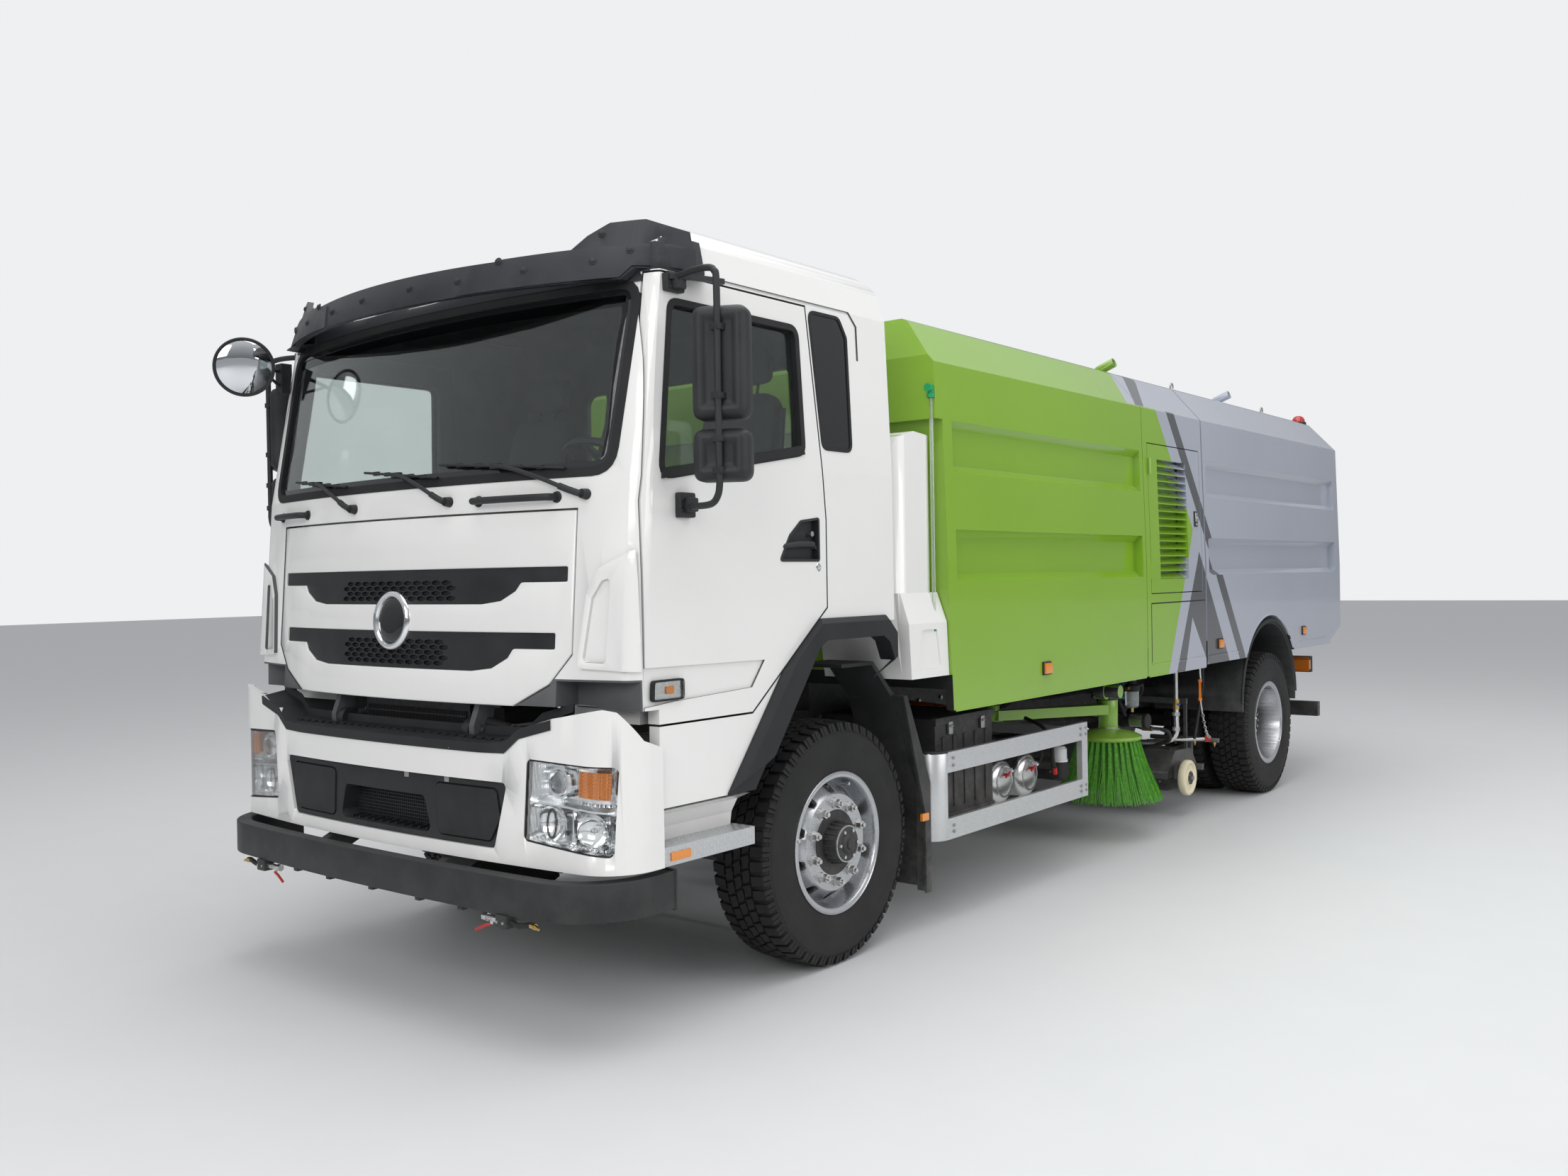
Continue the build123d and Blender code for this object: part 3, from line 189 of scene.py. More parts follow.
def mingle(tree, mask, first, second):
    # two colours mixed by a mask
    node = wire(tree, "Mix", data_type="RGBA")
    for socket, value in (("Factor", mask), ("A", first), ("B", second)):
        if isinstance(value, bpy.types.NodeSocket):
            tree.links.new(value, node.inputs[socket])
        else:
            node.inputs[socket].default_value = (*value, 1) if isinstance(value, tuple) else value
    return node.outputs["Result"]


def spread(tree, value, low, high, to_low=0, to_high=1):
    # a value between low and high brought to another range
    return wire(tree, "MapRange", value, low, high, to_low, to_high).outputs[0]


def times(tree, first, *others):
    for other in others:
        first = maths(tree, "MULTIPLY", first, other)
    return first


def less(tree, value, limit):
    return maths(tree, "LESS_THAN", value, limit)


def more(tree, value, limit):
    return maths(tree, "GREATER_THAN", value, limit)


def tinted(colour, share):
    return tuple(share * part for part in colour)


# dust and dried splashes, thick near the road and gone above the reach
road_film, entry, leave = effect("road_film", [("Reach", 1.1), ("Amount", 0.5)], ["Film"])
height = wire(road_film, "SeparateXYZ", spot_on(road_film)).outputs["Z"]
fade = maths(road_film, "SUBTRACT", 1, maths(road_film, "DIVIDE", height, entry.outputs["Reach"]))
fade = maths(road_film, "POWER", maths(road_film, "MAXIMUM", fade, 0), 1.6)
specks = spread(road_film, noise(road_film, 9, 8, 0.7), 0.36, 0.66, 0.15, 1)
feed(road_film, leave, Film=times(road_film, fade, specks, entry.outputs["Amount"]))

# sprayed paint: fine orange peel, and the slow waves of welded sheet
sprayed, entry, leave = effect("sprayed_sheet", [("Peel", 0.2), ("Wave", 0.5)], ["Height", "Tone"])
peel = times(sprayed, noise(sprayed, 420, 2), entry.outputs["Peel"], 0.002)
wave = times(sprayed, noise(sprayed, 2.3, 1), entry.outputs["Wave"], 0.2)
feed(sprayed, leave, Height=maths(sprayed, "ADD", peel, wave),
     Tone=spread(sprayed, noise(sprayed, 1.1, 3), 0.3, 0.7))

dust_tone = (0.33, 0.31, 0.28)


def bump_from(tree, shader, height, distance=1, strength=1):
    bump = wire(tree, "Bump")
    bump.inputs["Strength"].default_value = strength
    bump.inputs["Distance"].default_value = distance
    feed(tree, bump, Height=height)
    feed(tree, shader, Normal=bump.outputs["Normal"])


def painted(name, colour, roughness=0.2, wave=0.5, reach=1.1, amount=0.5, coat=0.5):
    # gloss paint over sheet, dusty towards the road
    material, tree, shader = surface(name, colour, roughness, coat=coat)
    sheet = use(tree, sprayed, Wave=wave)
    dirt = use(tree, road_film, Reach=reach, Amount=amount)["Film"]
    shade = mingle(tree, sheet["Tone"], colour, tinted(colour, 0.955))
    feed(tree, shader, Base_Color=mingle(tree, dirt, shade, dust_tone),
         Roughness=spread(tree, dirt, 0, 1, roughness, 0.75))
    bump_from(tree, shader, sheet["Height"], 0.02, 0.35)
    return material, tree, shader, shade, dirt


lime_tone = (0.218, 0.405, 0.026)
grey_tone = (0.375, 0.4, 0.465)
stripe_tone = (0.075, 0.078, 0.085)
# near black painted shade for the underside and the front wall's foot
painted_shade_tone = (0.022, 0.023, 0.024)
body_paint, tree, shader, shade, dirt = painted("body_paint", grey_tone, 0.17, 0.9, 1.5, 0.25)
spot = wire(tree, "SeparateXYZ", spot_on(tree)).outputs
toward = wire(tree, "SeparateXYZ", wire(tree, "TexCoord").outputs["Normal"]).outputs
station = maths(tree, "SUBTRACT", spot["Y"], front_axle_y)
high = spot["Z"]
on_side = less(tree, high, 2.664)
on_slope = maths(tree, "SUBTRACT", 1, on_side)


def slanted(start, level_height, slope):
    # the station of a slanted line at each height, where it passes start at level_height
    return maths(tree, "ADD", start, times(tree, maths(tree, "SUBTRACT", level_height, high), slope))


def between(value, low, high_end):
    return times(tree, more(tree, value, low), less(tree, value, high_end))


# each area is told once for the side and once for the slope of the roof
side_edge = maths(tree, "MINIMUM", slanted(3.265, 2.655, 0.738), slanted(3.8, 1.93, -0.4835))
roof_edge = maths(tree, "MINIMUM", slanted(2.85, 2.655, -0.82), 3.03)
edge = maths(tree, "ADD", times(tree, side_edge, on_side), times(tree, roof_edge, on_slope))
lime = less(tree, station, edge)
long_stripe = between(station, slanted(3.428, 2.658, 0.738), slanted(3.553, 2.658, 0.738))
roof_stripe = between(station, maths(tree, "MINIMUM", slanted(2.97, 2.655, -1.11), 3.2),
                      maths(tree, "MINIMUM", slanted(3.09, 2.655, -1.38), 3.37))
peak = between(station, slanted(3.892, 1.784, -0.5235), slanted(3.892, 1.784, 0.71))
notch = between(station, slanted(3.759, 1.354, -0.396), slanted(3.759, 1.354, 0.841))
peak = times(tree, peak, maths(tree, "SUBTRACT", 1, notch))
stripes = maths(tree, "ADD", times(tree, maths(tree, "MAXIMUM", long_stripe, peak), on_side),
                times(tree, roof_stripe, on_slope))
lime_shade = mingle(tree, use(tree, sprayed, Wave=0)["Tone"], lime_tone, tinted(lime_tone, 0.94))
# no stripe crosses the walls where two boxes meet, and the bent vents that stand on the roof are
# plain lime in front and plain grey behind
on_roof = more(tree, high, 2.915)
stripes = times(tree, stripes, less(tree, maths(tree, "ABSOLUTE", toward["Y"]), 0.9),
                maths(tree, "SUBTRACT", 1, on_roof))
lime = maths(tree, "MAXIMUM", lime, times(tree, on_roof, less(tree, station, 3.6)))
livery_and_shade = mingle(tree, stripes, mingle(tree, lime, shade, lime_shade), stripe_tone)
# painted shade: the underside and the front wall's foot lie in shadow, and are coloured near black for it
underside_shade = times(tree, less(tree, toward["Z"], -0.6), less(tree, high, 1.15))
front_foot_shade = times(tree, less(tree, toward["Y"], -0.7), less(tree, high, 1.19))
livery_and_shade = mingle(tree, maths(tree, "MAXIMUM", underside_shade, front_foot_shade), livery_and_shade, painted_shade_tone)
feed(tree, shader, Base_Color=mingle(tree, dirt, livery_and_shade, dust_tone))


def dress(node_names, material, ease=0, angle=32):
    # gives CAD nodes their finish, and rounds their sharp edges by a few millimetres
    for name in node_names:
        node = nodes[name]
        node.data.materials.clear()
        node.data.materials.append(material)
        weld = node.modifiers.new("weld", "WELD")
        weld.merge_threshold = 0.00005
        if ease:
            bevel = node.modifiers.new("ease", "BEVEL")
            bevel.width = ease
            bevel.segments = 2
            bevel.limit_method = "ANGLE"
            bevel.angle_limit = math.radians(angle)
            bevel.harden_normals = True
            bevel.use_clamp_overlap = True


dress(("water_tank", "fan_compartment", "debris_tank", "tail_door"), body_paint, 0.004)
dress(("louvre_door_left", "louvre_door_right"), body_paint, 0.0015)

# Body fittings. Marker lamps, the louvre doors' locks and hinges, the vents' perforated ends, the red
# beacons and the lifting eyes along the roof's edges.
origin = at(0, 0, 0)
sides = ((1, "left"), (-1, "right"))


def fresh(count):
    # empty meshes to build in
    return [bmesh.new() for _ in range(count)]


def shape(name, build, material, body="chassis", smooth=True, angle=35):
    # one piece from a bmesh, finished and riding on its body
    mesh = bpy.data.meshes.new(name)
    bmesh.ops.recalc_face_normals(build, faces=build.faces)
    build.to_mesh(mesh)
    build.free()
    if smooth:
        mesh.shade_smooth()
        mesh.set_sharp_from_angle(angle=math.radians(angle))
    mesh.materials.append(material)
    piece = bpy.data.objects.new(name, mesh)
    bpy.context.scene.collection.objects.link(piece)
    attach(piece, body)
    return piece


def path(side, points, base=origin):
    # places on one side of the truck, as (x, station, height) or as steps from a base
    return [base + Vector((side * x, y, z)) for x, y, z in points]


def rod(build, start, end, radius, count=16, tip=None):
    # round bar between two points, tapered where a tip radius is given
    start, end = Vector(start), Vector(end)
    turn = (end - start).to_track_quat("Z", "Y").to_matrix().to_4x4()
    bmesh.ops.create_cone(build, cap_ends=True, segments=count, radius1=radius,
                          radius2=radius if tip is None else tip, depth=(end - start).length,
                          matrix=Matrix.Translation((start + end) / 2) @ turn)


def rods(side, base, *rows):
    # round bars from rows of mesh, start, end, radius, count of sides and perhaps a tip radius
    for build, start, end, *form in rows:
        rod(build, *path(side, (start, end), base), *form)


def block(build, corner, opposite, ease=0.002):
    # box with eased edges between two opposite corners
    low = Vector([min(pair) for pair in zip(corner, opposite)])
    top = Vector([max(pair) for pair in zip(corner, opposite)])
    place = Matrix.Translation((low + top) / 2) @ Matrix.Diagonal((*(top - low), 1))
    made = bmesh.ops.create_cube(build, size=1, matrix=place)
    if ease:
        edges = {edge for vert in made["verts"] for edge in vert.link_edges}
        bmesh.ops.bevel(build, geom=list(edges), offset=ease, segments=2, affect="EDGES", profile=0.7)


def blocks(side, build, ease, *rows):
    # boxes on one side of the truck from rows of two corners
    for corner, opposite in rows:
        block(build, *path(side, (corner, opposite)), ease)


def lump(build, middle, half, ease=0.002):
    block(build, middle - Vector(half), middle + Vector(half), ease)


def around(count, radius, start=0, axis="Z"):
    # steps evenly round a circle; round the X axis they start straight up
    turns = [start + 2 * math.pi * k / count for k in range(count)]
    if axis == "X":
        return [Vector((0, math.sin(turn), math.cos(turn))) * radius for turn in turns]
    return [Vector((math.cos(turn), math.sin(turn), 0)) * radius for turn in turns]


def skin(build, rows, closed=True):
    # joins rows of corners with four-sided faces, round each row or open at its ends
    for first, second in zip(rows, rows[1:]):
        count = len(first)
        for k in range(count if closed else count - 1):
            n = (k + 1) % count
            build.faces.new((first[k], first[n], second[n], second[k]))


def capped(build, rings):
    # a closed skin over rings, with both ends filled
    skin(build, rings)
    build.faces.new(rings[0])
    build.faces.new(rings[-1])


def lathe(build, profile, centre, axis=(0, 0, 1), count=48, open_end=False):
    # turned form of (along, radius) points about an axis through centre
    centre, axis = Vector(centre), Vector(axis).normalized()
    turn = axis.to_track_quat("Z", "Y").to_matrix()
    rings = []
    for along, radius in profile:
        steps = around(count, radius) if radius > 1e-6 else [Vector((0, 0, 0))]
        rings.append([build.verts.new(centre + turn @ (step + Vector((0, 0, along)))) for step in steps])
    for first, second in zip(rings, rings[1:]):
        if len(first) == len(second):
            if len(first) > 1:
                skin(build, (first, second))
            continue
        pole, ring = sorted((first, second), key=len)
        for k in range(count):
            build.faces.new((pole[0], ring[k], ring[(k + 1) % count]))
    if not open_end:
        for ring in (rings[0], rings[-1]):
            if len(ring) > 1:
                build.faces.new(ring)


def curved(points, steps=8):
    # points along a smooth curve through the given ones
    points = [Vector(point) for point in points]
    ends = [points[0] * 2 - points[1]] + points + [points[-1] * 2 - points[-2]]
    line = []
    for a, b, c, d in zip(ends, ends[1:], ends[2:], ends[3:]):
        for k in range(steps):
            t = k / steps
            line.append(0.5 * (2 * b + (c - a) * t + (2 * a - 5 * b + 4 * c - d) * t * t
                               + (3 * b - a - 3 * c + d) * t ** 3))
    return line + [points[-1]]


def sweep(build, line, radius, count=10, radii=None):
    # tube along a line; radii gives the radius at each point where it changes
    line = [Vector(point) for point in line]
    across, rings = None, []
    for k, point in enumerate(line):
        along = (line[min(k + 1, len(line) - 1)] - line[max(k - 1, 0)]).normalized()
        if across is None:
            across = along.orthogonal().normalized()
        across = (across - along * across.dot(along)).normalized()
        other = along.cross(across)
        steps = around(count, radii[k] if radii else radius)
        rings.append([build.verts.new(point + across * step.x + other * step.y) for step in steps])
    capped(build, rings)


def hose(build, points, radius, count=10, steps=8):
    sweep(build, curved(points, steps), radius, count)


moulded, entry, leave = effect("moulded_grain", [("Scale", 900)], ["Height", "Mottle"])
pits = wire(moulded, "TexVoronoi", spot_on(moulded), None, entry.outputs["Scale"]).outputs["Distance"]
feed(moulded, leave, Height=pits, Mottle=spread(moulded, noise(moulded, 7, 5), 0.3, 0.7))


def plastic(name, colour, roughness, grain=900, reach=0.9, amount=0.5):
    # moulded plastic with a fine leather grain, greyed by dust low down
    material, tree, shader = surface(name, colour, roughness)
    leather = use(tree, moulded, Scale=grain)
    dirt = use(tree, road_film, Reach=reach, Amount=amount)["Film"]
    faded = tuple(part * 1.35 + 0.004 for part in colour)
    shade = mingle(tree, leather["Mottle"], colour, faded)
    feed(tree, shader, Base_Color=mingle(tree, dirt, shade, (0.2, 0.19, 0.175)),
         Roughness=spread(tree, leather["Mottle"], 0, 1, roughness, roughness + 0.12))
    bump_from(tree, shader, leather["Height"], 0.0006, 0.5)
    shader.inputs["Specular IOR Level"].default_value = 0.3
    return material


def bare_metal(name, colour, roughness, metallic=1, grain=60, stretch=(1, 1, 1), reach=0.9, amount=0.35):
    # metal with fine drawn or turned lines and a dull film near the road
    material, tree, shader = surface(name, colour, roughness, metallic)
    drawn = wire(tree, "Mapping", spot_on(tree), None, None, stretch, vector_type="POINT").outputs[0]
    lines = wire(tree, "TexNoise", drawn, None, grain, 4, 0.6).outputs["Fac"]
    dirt = use(tree, road_film, Reach=reach, Amount=amount)["Film"]
    shade = mingle(tree, spread(tree, lines, 0.35, 0.65), colour, tinted(colour, 0.82))
    feed(tree, shader, Base_Color=mingle(tree, dirt, shade, (0.22, 0.2, 0.18)),
         Metallic=spread(tree, dirt, 0, 1, metallic, 0.2 * metallic),
         Roughness=spread(tree, lines, 0.3, 0.7, roughness * 0.85, roughness * 1.25))
    bump_from(tree, shader, lines, 0.0004, 0.3)
    return material


def lens(name, colour):
    # coloured moulded lens with small prisms on its inner face
    material, tree, shader = surface(name, colour, 0.08, coat=0.8)
    prisms = wire(tree, "TexChecker", spot_on(tree), None, None, 160).outputs["Fac"]
    feed(tree, shader, Base_Color=mingle(tree, prisms, colour, tinted(colour, 0.72)))
    bump_from(tree, shader, prisms, 0.0008, 0.25)
    return material


black_plastic = plastic("black_plastic", (0.02, 0.021, 0.022), 0.42)
amber_lens = lens("amber_lens", (0.84, 0.27, 0.02))
red_lens = lens("red_lens", (0.55, 0.015, 0.012))
steel = bare_metal("bright_steel", (0.68, 0.68, 0.67), 0.28, stretch=(1, 1, 12))
zinc = bare_metal("zinc_steel", (0.45, 0.45, 0.44), 0.42, stretch=(1, 1, 12))

# the front marker lamps sit on the chassis, and the middle and rear ones on the tipping debris tank
side_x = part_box("water_tank")[1].x
marker_spots = (("front", "chassis", ((1.716, 1.16),)), ("rear", "hopper", ((4.241, 1.161), (6.058, 1.172))))
for part, wide, tall, depth, material, slot in (
    ("marker_holders_", 0.045, 0.035, 0.012, black_plastic, "black_plastic"),
    ("marker_lenses_", 0.038, 0.028, 0.022, amber_lens, "lamp_lens"),
):
    for word, body, places in marker_spots:
        markers = bmesh.new()
        for side, _ in sides:
            blocks(side, markers, 0.005, *(((side_x - 0.006, station - wide, high - tall),
                                            (side_x - 0.002 + depth, station + wide, high + tall))
                                           for station, high in places))
        shape(part + word, markers, material, body)

# louvre door locks: a black plate with a chrome paddle, a keyhole and its cover
for side, word in sides:
    door_low, door_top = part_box("louvre_door_" + word)
    face = max(abs(door_low.x), abs(door_top.x)) - 0.0115
    plates, paddles, hinges = fresh(3)
    blocks(side, plates, 0.004, ((face, 3.822, 1.945), (face + 0.01, 3.878, 2.045)))
    blocks(side, paddles, 0.003, ((face + 0.008, 3.832, 1.975), (face + 0.016, 3.868, 2.036)))
    blocks(side, paddles, 0.002, ((face + 0.01, 3.838, 1.952), (face + 0.018, 3.862, 1.966)))
    rods(side, origin, (paddles, (face + 0.014, 3.856, 2), (face + 0.022, 3.856, 2), 0.006, 12),
         *((hinges, (side_x - 0.001, 3.107, high - 0.05), (side_x - 0.001, 3.107, high + 0.05), 0.008, 12)
           for high in (1.66, 2.3)))
    shape("lock_plate_" + word, plates, black_plastic, "louvre_door_" + word)
    shape("lock_paddle_" + word, paddles, steel, "louvre_door_" + word)
    shape("louvre_hinges_" + word, hinges, body_paint)

# red beacons and lifting eyes on the rear tank's roof
roof_high = 2.895
beacons, bases, eyes = fresh(3)
for side, _ in sides:
    centre = at(side * 0.98, 6.94, roof_high)
    lathe(beacons, [(0.008, 0.052), (0.03, 0.05), (0.052, 0.038), (0.062, 0.018), (0.064, 0)], centre,
          count=28)
    lathe(bases, [(-0.012, 0.062), (0.004, 0.062), (0.01, 0.055), (0.012, 0)], centre, count=28)
    for station in (4.16, 5.99):
        foot = at(side * 0.985, station, roof_high)
        turns = [math.pi * k / 10 - 0.25 for k in range(13)]
        ring = [foot + Vector((0, 0.022 * math.cos(turn), 0.02 + 0.026 * math.sin(turn))) for turn in turns]
        sweep(eyes, ring, 0.006, 8)
        block(eyes, foot + Vector((-0.02, -0.035, -0.012)), foot + Vector((0.02, 0.035, 0.003)))
shape("beacon_domes", beacons, red_lens, "hopper")
shape("beacon_bases", bases, black_plastic, "hopper")
shape("lifting_eyes", eyes, zinc, "hopper")

# perforated ends of the two bent vents
for word, station, body in (("front", 3.37, "chassis"), ("rear", 5.44, "hopper")):
    grids = bmesh.new()
    mouth = at(0.925, station, 3)
    facing = Vector((0.105, 0, 0.041)).normalized()
    lathe(grids, [(-0.012, 0.0245), (-0.008, 0.0245), (-0.008, 0.02), (-0.01, 0)], mouth, facing, 24)
    turn = facing.to_track_quat("Z", "Y").to_matrix()
    for step in around(5, 0.007) + around(10, 0.015):
        hole = mouth + turn @ step
        rod(grids, hole - facing * 0.009, hole - facing * 0.005, 0.0022, 8)
    shape("vent_grid_" + word, grids, zinc, body)

# Water level tube. A clear plastic tube stands on the front edge of the tank between two green
# elbow fittings with hexagon nuts.
clear_tube, tree, shader = surface("clear_tube", (0.86, 0.9, 0.88), 0.06, clear=0.85)
bump_from(tree, shader, noise(tree, 40), 0.001, 0.3)
green_fitting = plastic("green_fitting", (0.01, 0.26, 0.09), 0.3, 1200)
tubes, fittings = fresh(2)
for side, _ in sides:
    rods(side, at(side * (side_x - 0.04), 0.684, 0), (tubes, (0, 0, 1.44), (0, 0, 2.5), 0.0085))
    for high, way in ((1.41, 1), (2.53, -1)):
        rods(side, at(side * (side_x - 0.04), 0.684, high),
             (fittings, (0, 0, -0.012 * way), (0, 0, 0.045 * way), 0.015),
             (fittings, (0, -0.024, 0), (0, 0.1, 0), 0.014),
             (fittings, (0, -0.03, 0), (0, -0.008, 0), 0.021, 6),
             (fittings, (0, 0, 0.026 * way), (0, 0, 0.044 * way), 0.02, 6))
shape("level_tubes", tubes, clear_tube)
shape("level_tube_fittings", fittings, green_fitting)

# Seams of the body. A folded lip runs under the tank's skirt, split where the compartments meet.
# It is sheet steel in the body's paint.
lips = bmesh.new()
for side, _ in sides:
    blocks(side, lips, 0.003, *(((side_x - 0.04, start, 1.014), (side_x + 0.0005, end, 1.024))
                                for start, end in ((0.8, 3.02), (3.06, 3.99))))
shape("skirt_lips", lips, body_paint)

# Cab shell and doors. Pressed steel in gloss warm white, with grey trim inside. The trim is told
# from the paint by the way each face looks, inwards to the room or outwards to the road.
inward, entry, leave = effect("inward_faces", [("Centre station", -0.4), ("Centre height", 2.1)], ["Inside"])
coords = wire(inward, "TexCoord").outputs
room_y = maths(inward, "ADD", entry.outputs[0], front_axle_y)
room_centre = wire(inward, "CombineXYZ", 0, room_y, entry.outputs[1]).outputs[0]
from_centre = wire(inward, "VectorMath", coords["Object"], room_centre, operation="SUBTRACT").outputs[0]
outlook = wire(inward, "VectorMath", coords["Normal"], from_centre, operation="DOT_PRODUCT").outputs["Value"]
feed(inward, leave, Inside=less(inward, outlook, -0.02))

white_tone = (0.8, 0.795, 0.775)
trim_tone = (0.075, 0.078, 0.082)
cab_paint, tree, shader, shade, dirt = painted("cab_paint", white_tone, 0.16, 0.12, 1.3, 0.22)
spot = wire(tree, "SeparateXYZ", spot_on(tree)).outputs
# the tilt lugs below the nose are black too, and so is the step under the corner panels
lugs = times(tree, less(tree, spot["Z"], 1.205), less(tree, maths(tree, "ABSOLUTE", spot["X"]), 0.6))
corner_step = times(tree, less(tree, spot["Z"], 1.3105), less(tree, spot["Y"], front_axle_y - 1.235))
inside = maths(tree, "MAXIMUM", use(tree, inward)["Inside"], lugs)
inside = maths(tree, "MAXIMUM", inside, corner_step)
trim = mingle(tree, use(tree, moulded, Scale=500)["Mottle"], trim_tone, tinted(trim_tone, 1.4))
feed(tree, shader, Base_Color=mingle(tree, inside, mingle(tree, dirt, shade, dust_tone), trim),
     Roughness=spread(tree, inside, 0, 1, 0.16, 0.7), Coat_Weight=spread(tree, inside, 0, 1, 0.5, 0))
outer_white = painted("panel_white", white_tone, 0.16, 0.12, 1.3, 0.22)[0]
visor_plastic = plastic("visor_plastic", (0.019, 0.021, 0.025), 0.27, 1400)

dress(("cab_shell", "door_left", "door_right"), cab_paint, 0.004, 40)
dress(("front_flap", "tank_fairings"), outer_white, 0.006, 40)
dress(("wheel_flares",), plastic("flare_plastic", (0.012, 0.013, 0.015), 0.45, 700), 0.006)
dress(("sun_visor",), visor_plastic, 0.004, 40)


def cab_side_x(height):
    # the cab's side leans in above the waist
    return 1.225 - max(0, height - 2.1) * 0.0425


def on_nose(x, height, lift):
    # a point that stands proud of the bowed nose, which is raked back above the waist
    if height < 2.03:
        station = -1.44 + (height - 1.1) * 0.0731
    else:
        station = -1.372 + (height - 2.03) * 0.19
    return at(x, station + 0.15 * (x / 1.225) ** 2 - lift, height)


def on_side_panel(side):
    # maps (station, height, lift) to a point that stands proud of the cab's side
    return lambda station, height, lift: at(side * (cab_side_x(height) + lift), station, height)


def rounded(points, radius, steps=5):
    # an outline with its corners rounded
    out = []
    for k, point in enumerate(points):
        corner = Vector(point)
        before = Vector(points[k - 1]) - corner
        after = Vector(points[(k + 1) % len(points)]) - corner
        reach = min(radius / math.tan(before.angle(after) / 2), before.length * 0.48, after.length * 0.48)
        start, end = corner + before.normalized() * reach, corner + after.normalized() * reach
        for n in range(steps + 1):
            t = n / steps
            out.append(start * (1 - t) ** 2 + corner * 2 * t * (1 - t) + end * t * t)
    return out


def grown(points, distance):
    # an outline moved outwards by a distance
    points = [Vector(point) for point in points]
    area = sum(a.x * b.y - b.x * a.y for a, b in zip(points, points[1:] + points[:1]))
    turn = 1 if area > 0 else -1
    out = []
    for before, point, after in zip(points[-1:] + points, points, points[1:] + points[:1]):
        first, second = point - before, after - point
        first = (first if first.length > 1e-9 else second).normalized()
        second = second.normalized() if second.length > 1e-9 else first
        n1, n2 = Vector((first.y, -first.x)), Vector((second.y, -second.x))
        middle = (n1 + n2).normalized()
        out.append(point + middle * (turn * distance / max(0.3, middle.dot(n1))))
    return out


def border(build, outline, width, place, low, top, step=0.06):
    # a flat-topped frame that follows an outline on a curved panel, from it inwards by its width
    outer = []
    for a, b in zip(outline, outline[1:] + outline[:1]):
        a, b = Vector(a), Vector(b)
        count = max(1, int((b - a).length / step))
        outer += [a.lerp(b, n / count) for n in range(count)]
    inner = grown(outer, -width)
    loops = [[build.verts.new(place(*point, lift)) for point in line]
             for line, lift in ((outer, low), (outer, top), (inner, top), (inner, low))]
    skin(build, loops + loops[:1])


def plate(build, outline, place, low, top):
    # a thin plate with this outline, laid on a panel
    capped(build, [[build.verts.new(place(*point, lift)) for point in outline] for lift in (low, top)])


# Glass. Laminated windscreen and tempered side panes, faintly green, bonded with black
# rubber. The screen has a printed black border, the quarter panes are dark.
glass_tone = (0.74, 0.8, 0.78)
glass_tint, tree, shader = surface("cab_glazing", glass_tone, 0.015, clear=1)
shader.inputs["IOR"].default_value = 1.45
smear = noise(tree, 5, 6)
feed(tree, shader, Roughness=spread(tree, smear, 0.35, 0.75, 0.008, 0.03),
     Base_Color=mingle(tree, smear, (0.7, 0.77, 0.75), (0.78, 0.83, 0.81)))
dress(("door_glass_left", "door_glass_right"), glass_tint)

# the screen has a dark band along its head
screen_glass, tree, shader = surface("screen_glazing", glass_tone, 0.015, clear=1)
smear = noise(tree, 4, 6)
high = wire(tree, "SeparateXYZ", spot_on(tree)).outputs["Z"]
clean = mingle(tree, smear, (0.68, 0.745, 0.73), (0.74, 0.79, 0.775))
feed(tree, shader, Roughness=spread(tree, smear, 0.35, 0.75, 0.008, 0.035),
     Base_Color=mingle(tree, more(tree, high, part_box("cab_glass")[1].z - 0.1), clean, (0.16, 0.19, 0.19)))
dress(("cab_glass",), screen_glass)

rubber = plastic("seal_rubber", (0.012, 0.012, 0.013), 0.55, 1500)
dark_pane, tree, shader = surface("dark_pane", (0.012, 0.013, 0.014), 0.04, coat=0.6)
feed(tree, shader, Roughness=spread(tree, noise(tree, 6, 4), 0.3, 0.8, 0.03, 0.09))

cab_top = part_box("cab_shell")[1].z
screen_line = rounded([(1.105, 2.048), (1.125, cab_top - 0.29), (-1.125, cab_top - 0.29), (-1.105, 2.048)],
                      0.09)
seals, prints = fresh(2)
border(seals, grown(screen_line, 0.012), 0.034, on_nose, -0.012, 0.003)
border(prints, grown(screen_line, -0.004), 0.04, on_nose, -0.0105, -0.0085)
shape("screen_seal", seals, rubber, "cab")
shape("screen_border", prints, dark_pane, "cab")
window_top, quarter_top = cab_top - 0.363, cab_top - 0.275
window_line = rounded([(-1.128, 2.03), (-1.04, window_top), (-0.3, window_top), (-0.29, 2.168)], 0.045)
quarter_line = rounded([(-0.158, 2.19), (-0.214, quarter_top), (0, quarter_top), (0.05, cab_top - 0.355),
                        (0.05, 2.19)], 0.04)
for side, word in sides:
    place = on_side_panel(side)
    window_seals, quarter_seals, panes = fresh(3)
    border(window_seals, grown(window_line, 0.014), 0.026, place, -0.02, 0.004)
    # thick belt strip along the window's foot
    plate(window_seals, [(-1.125, 2.022), (-1.122, 2.058), (-0.296, 2.196), (-0.286, 2.16)], place, -0.004,
          0.008)
    border(quarter_seals, grown(quarter_line, 0.004), 0.014, place, -0.012, 0.003)
    plate(panes, grown(quarter_line, -0.008), place, -0.0045, -0.0015)
    shape("window_seal_" + word, window_seals, rubber, "cab_door_" + word)
    shape("quarter_seal_" + word, quarter_seals, rubber, "cab")
    shape("quarter_pane_" + word, panes, dark_pane, "cab")

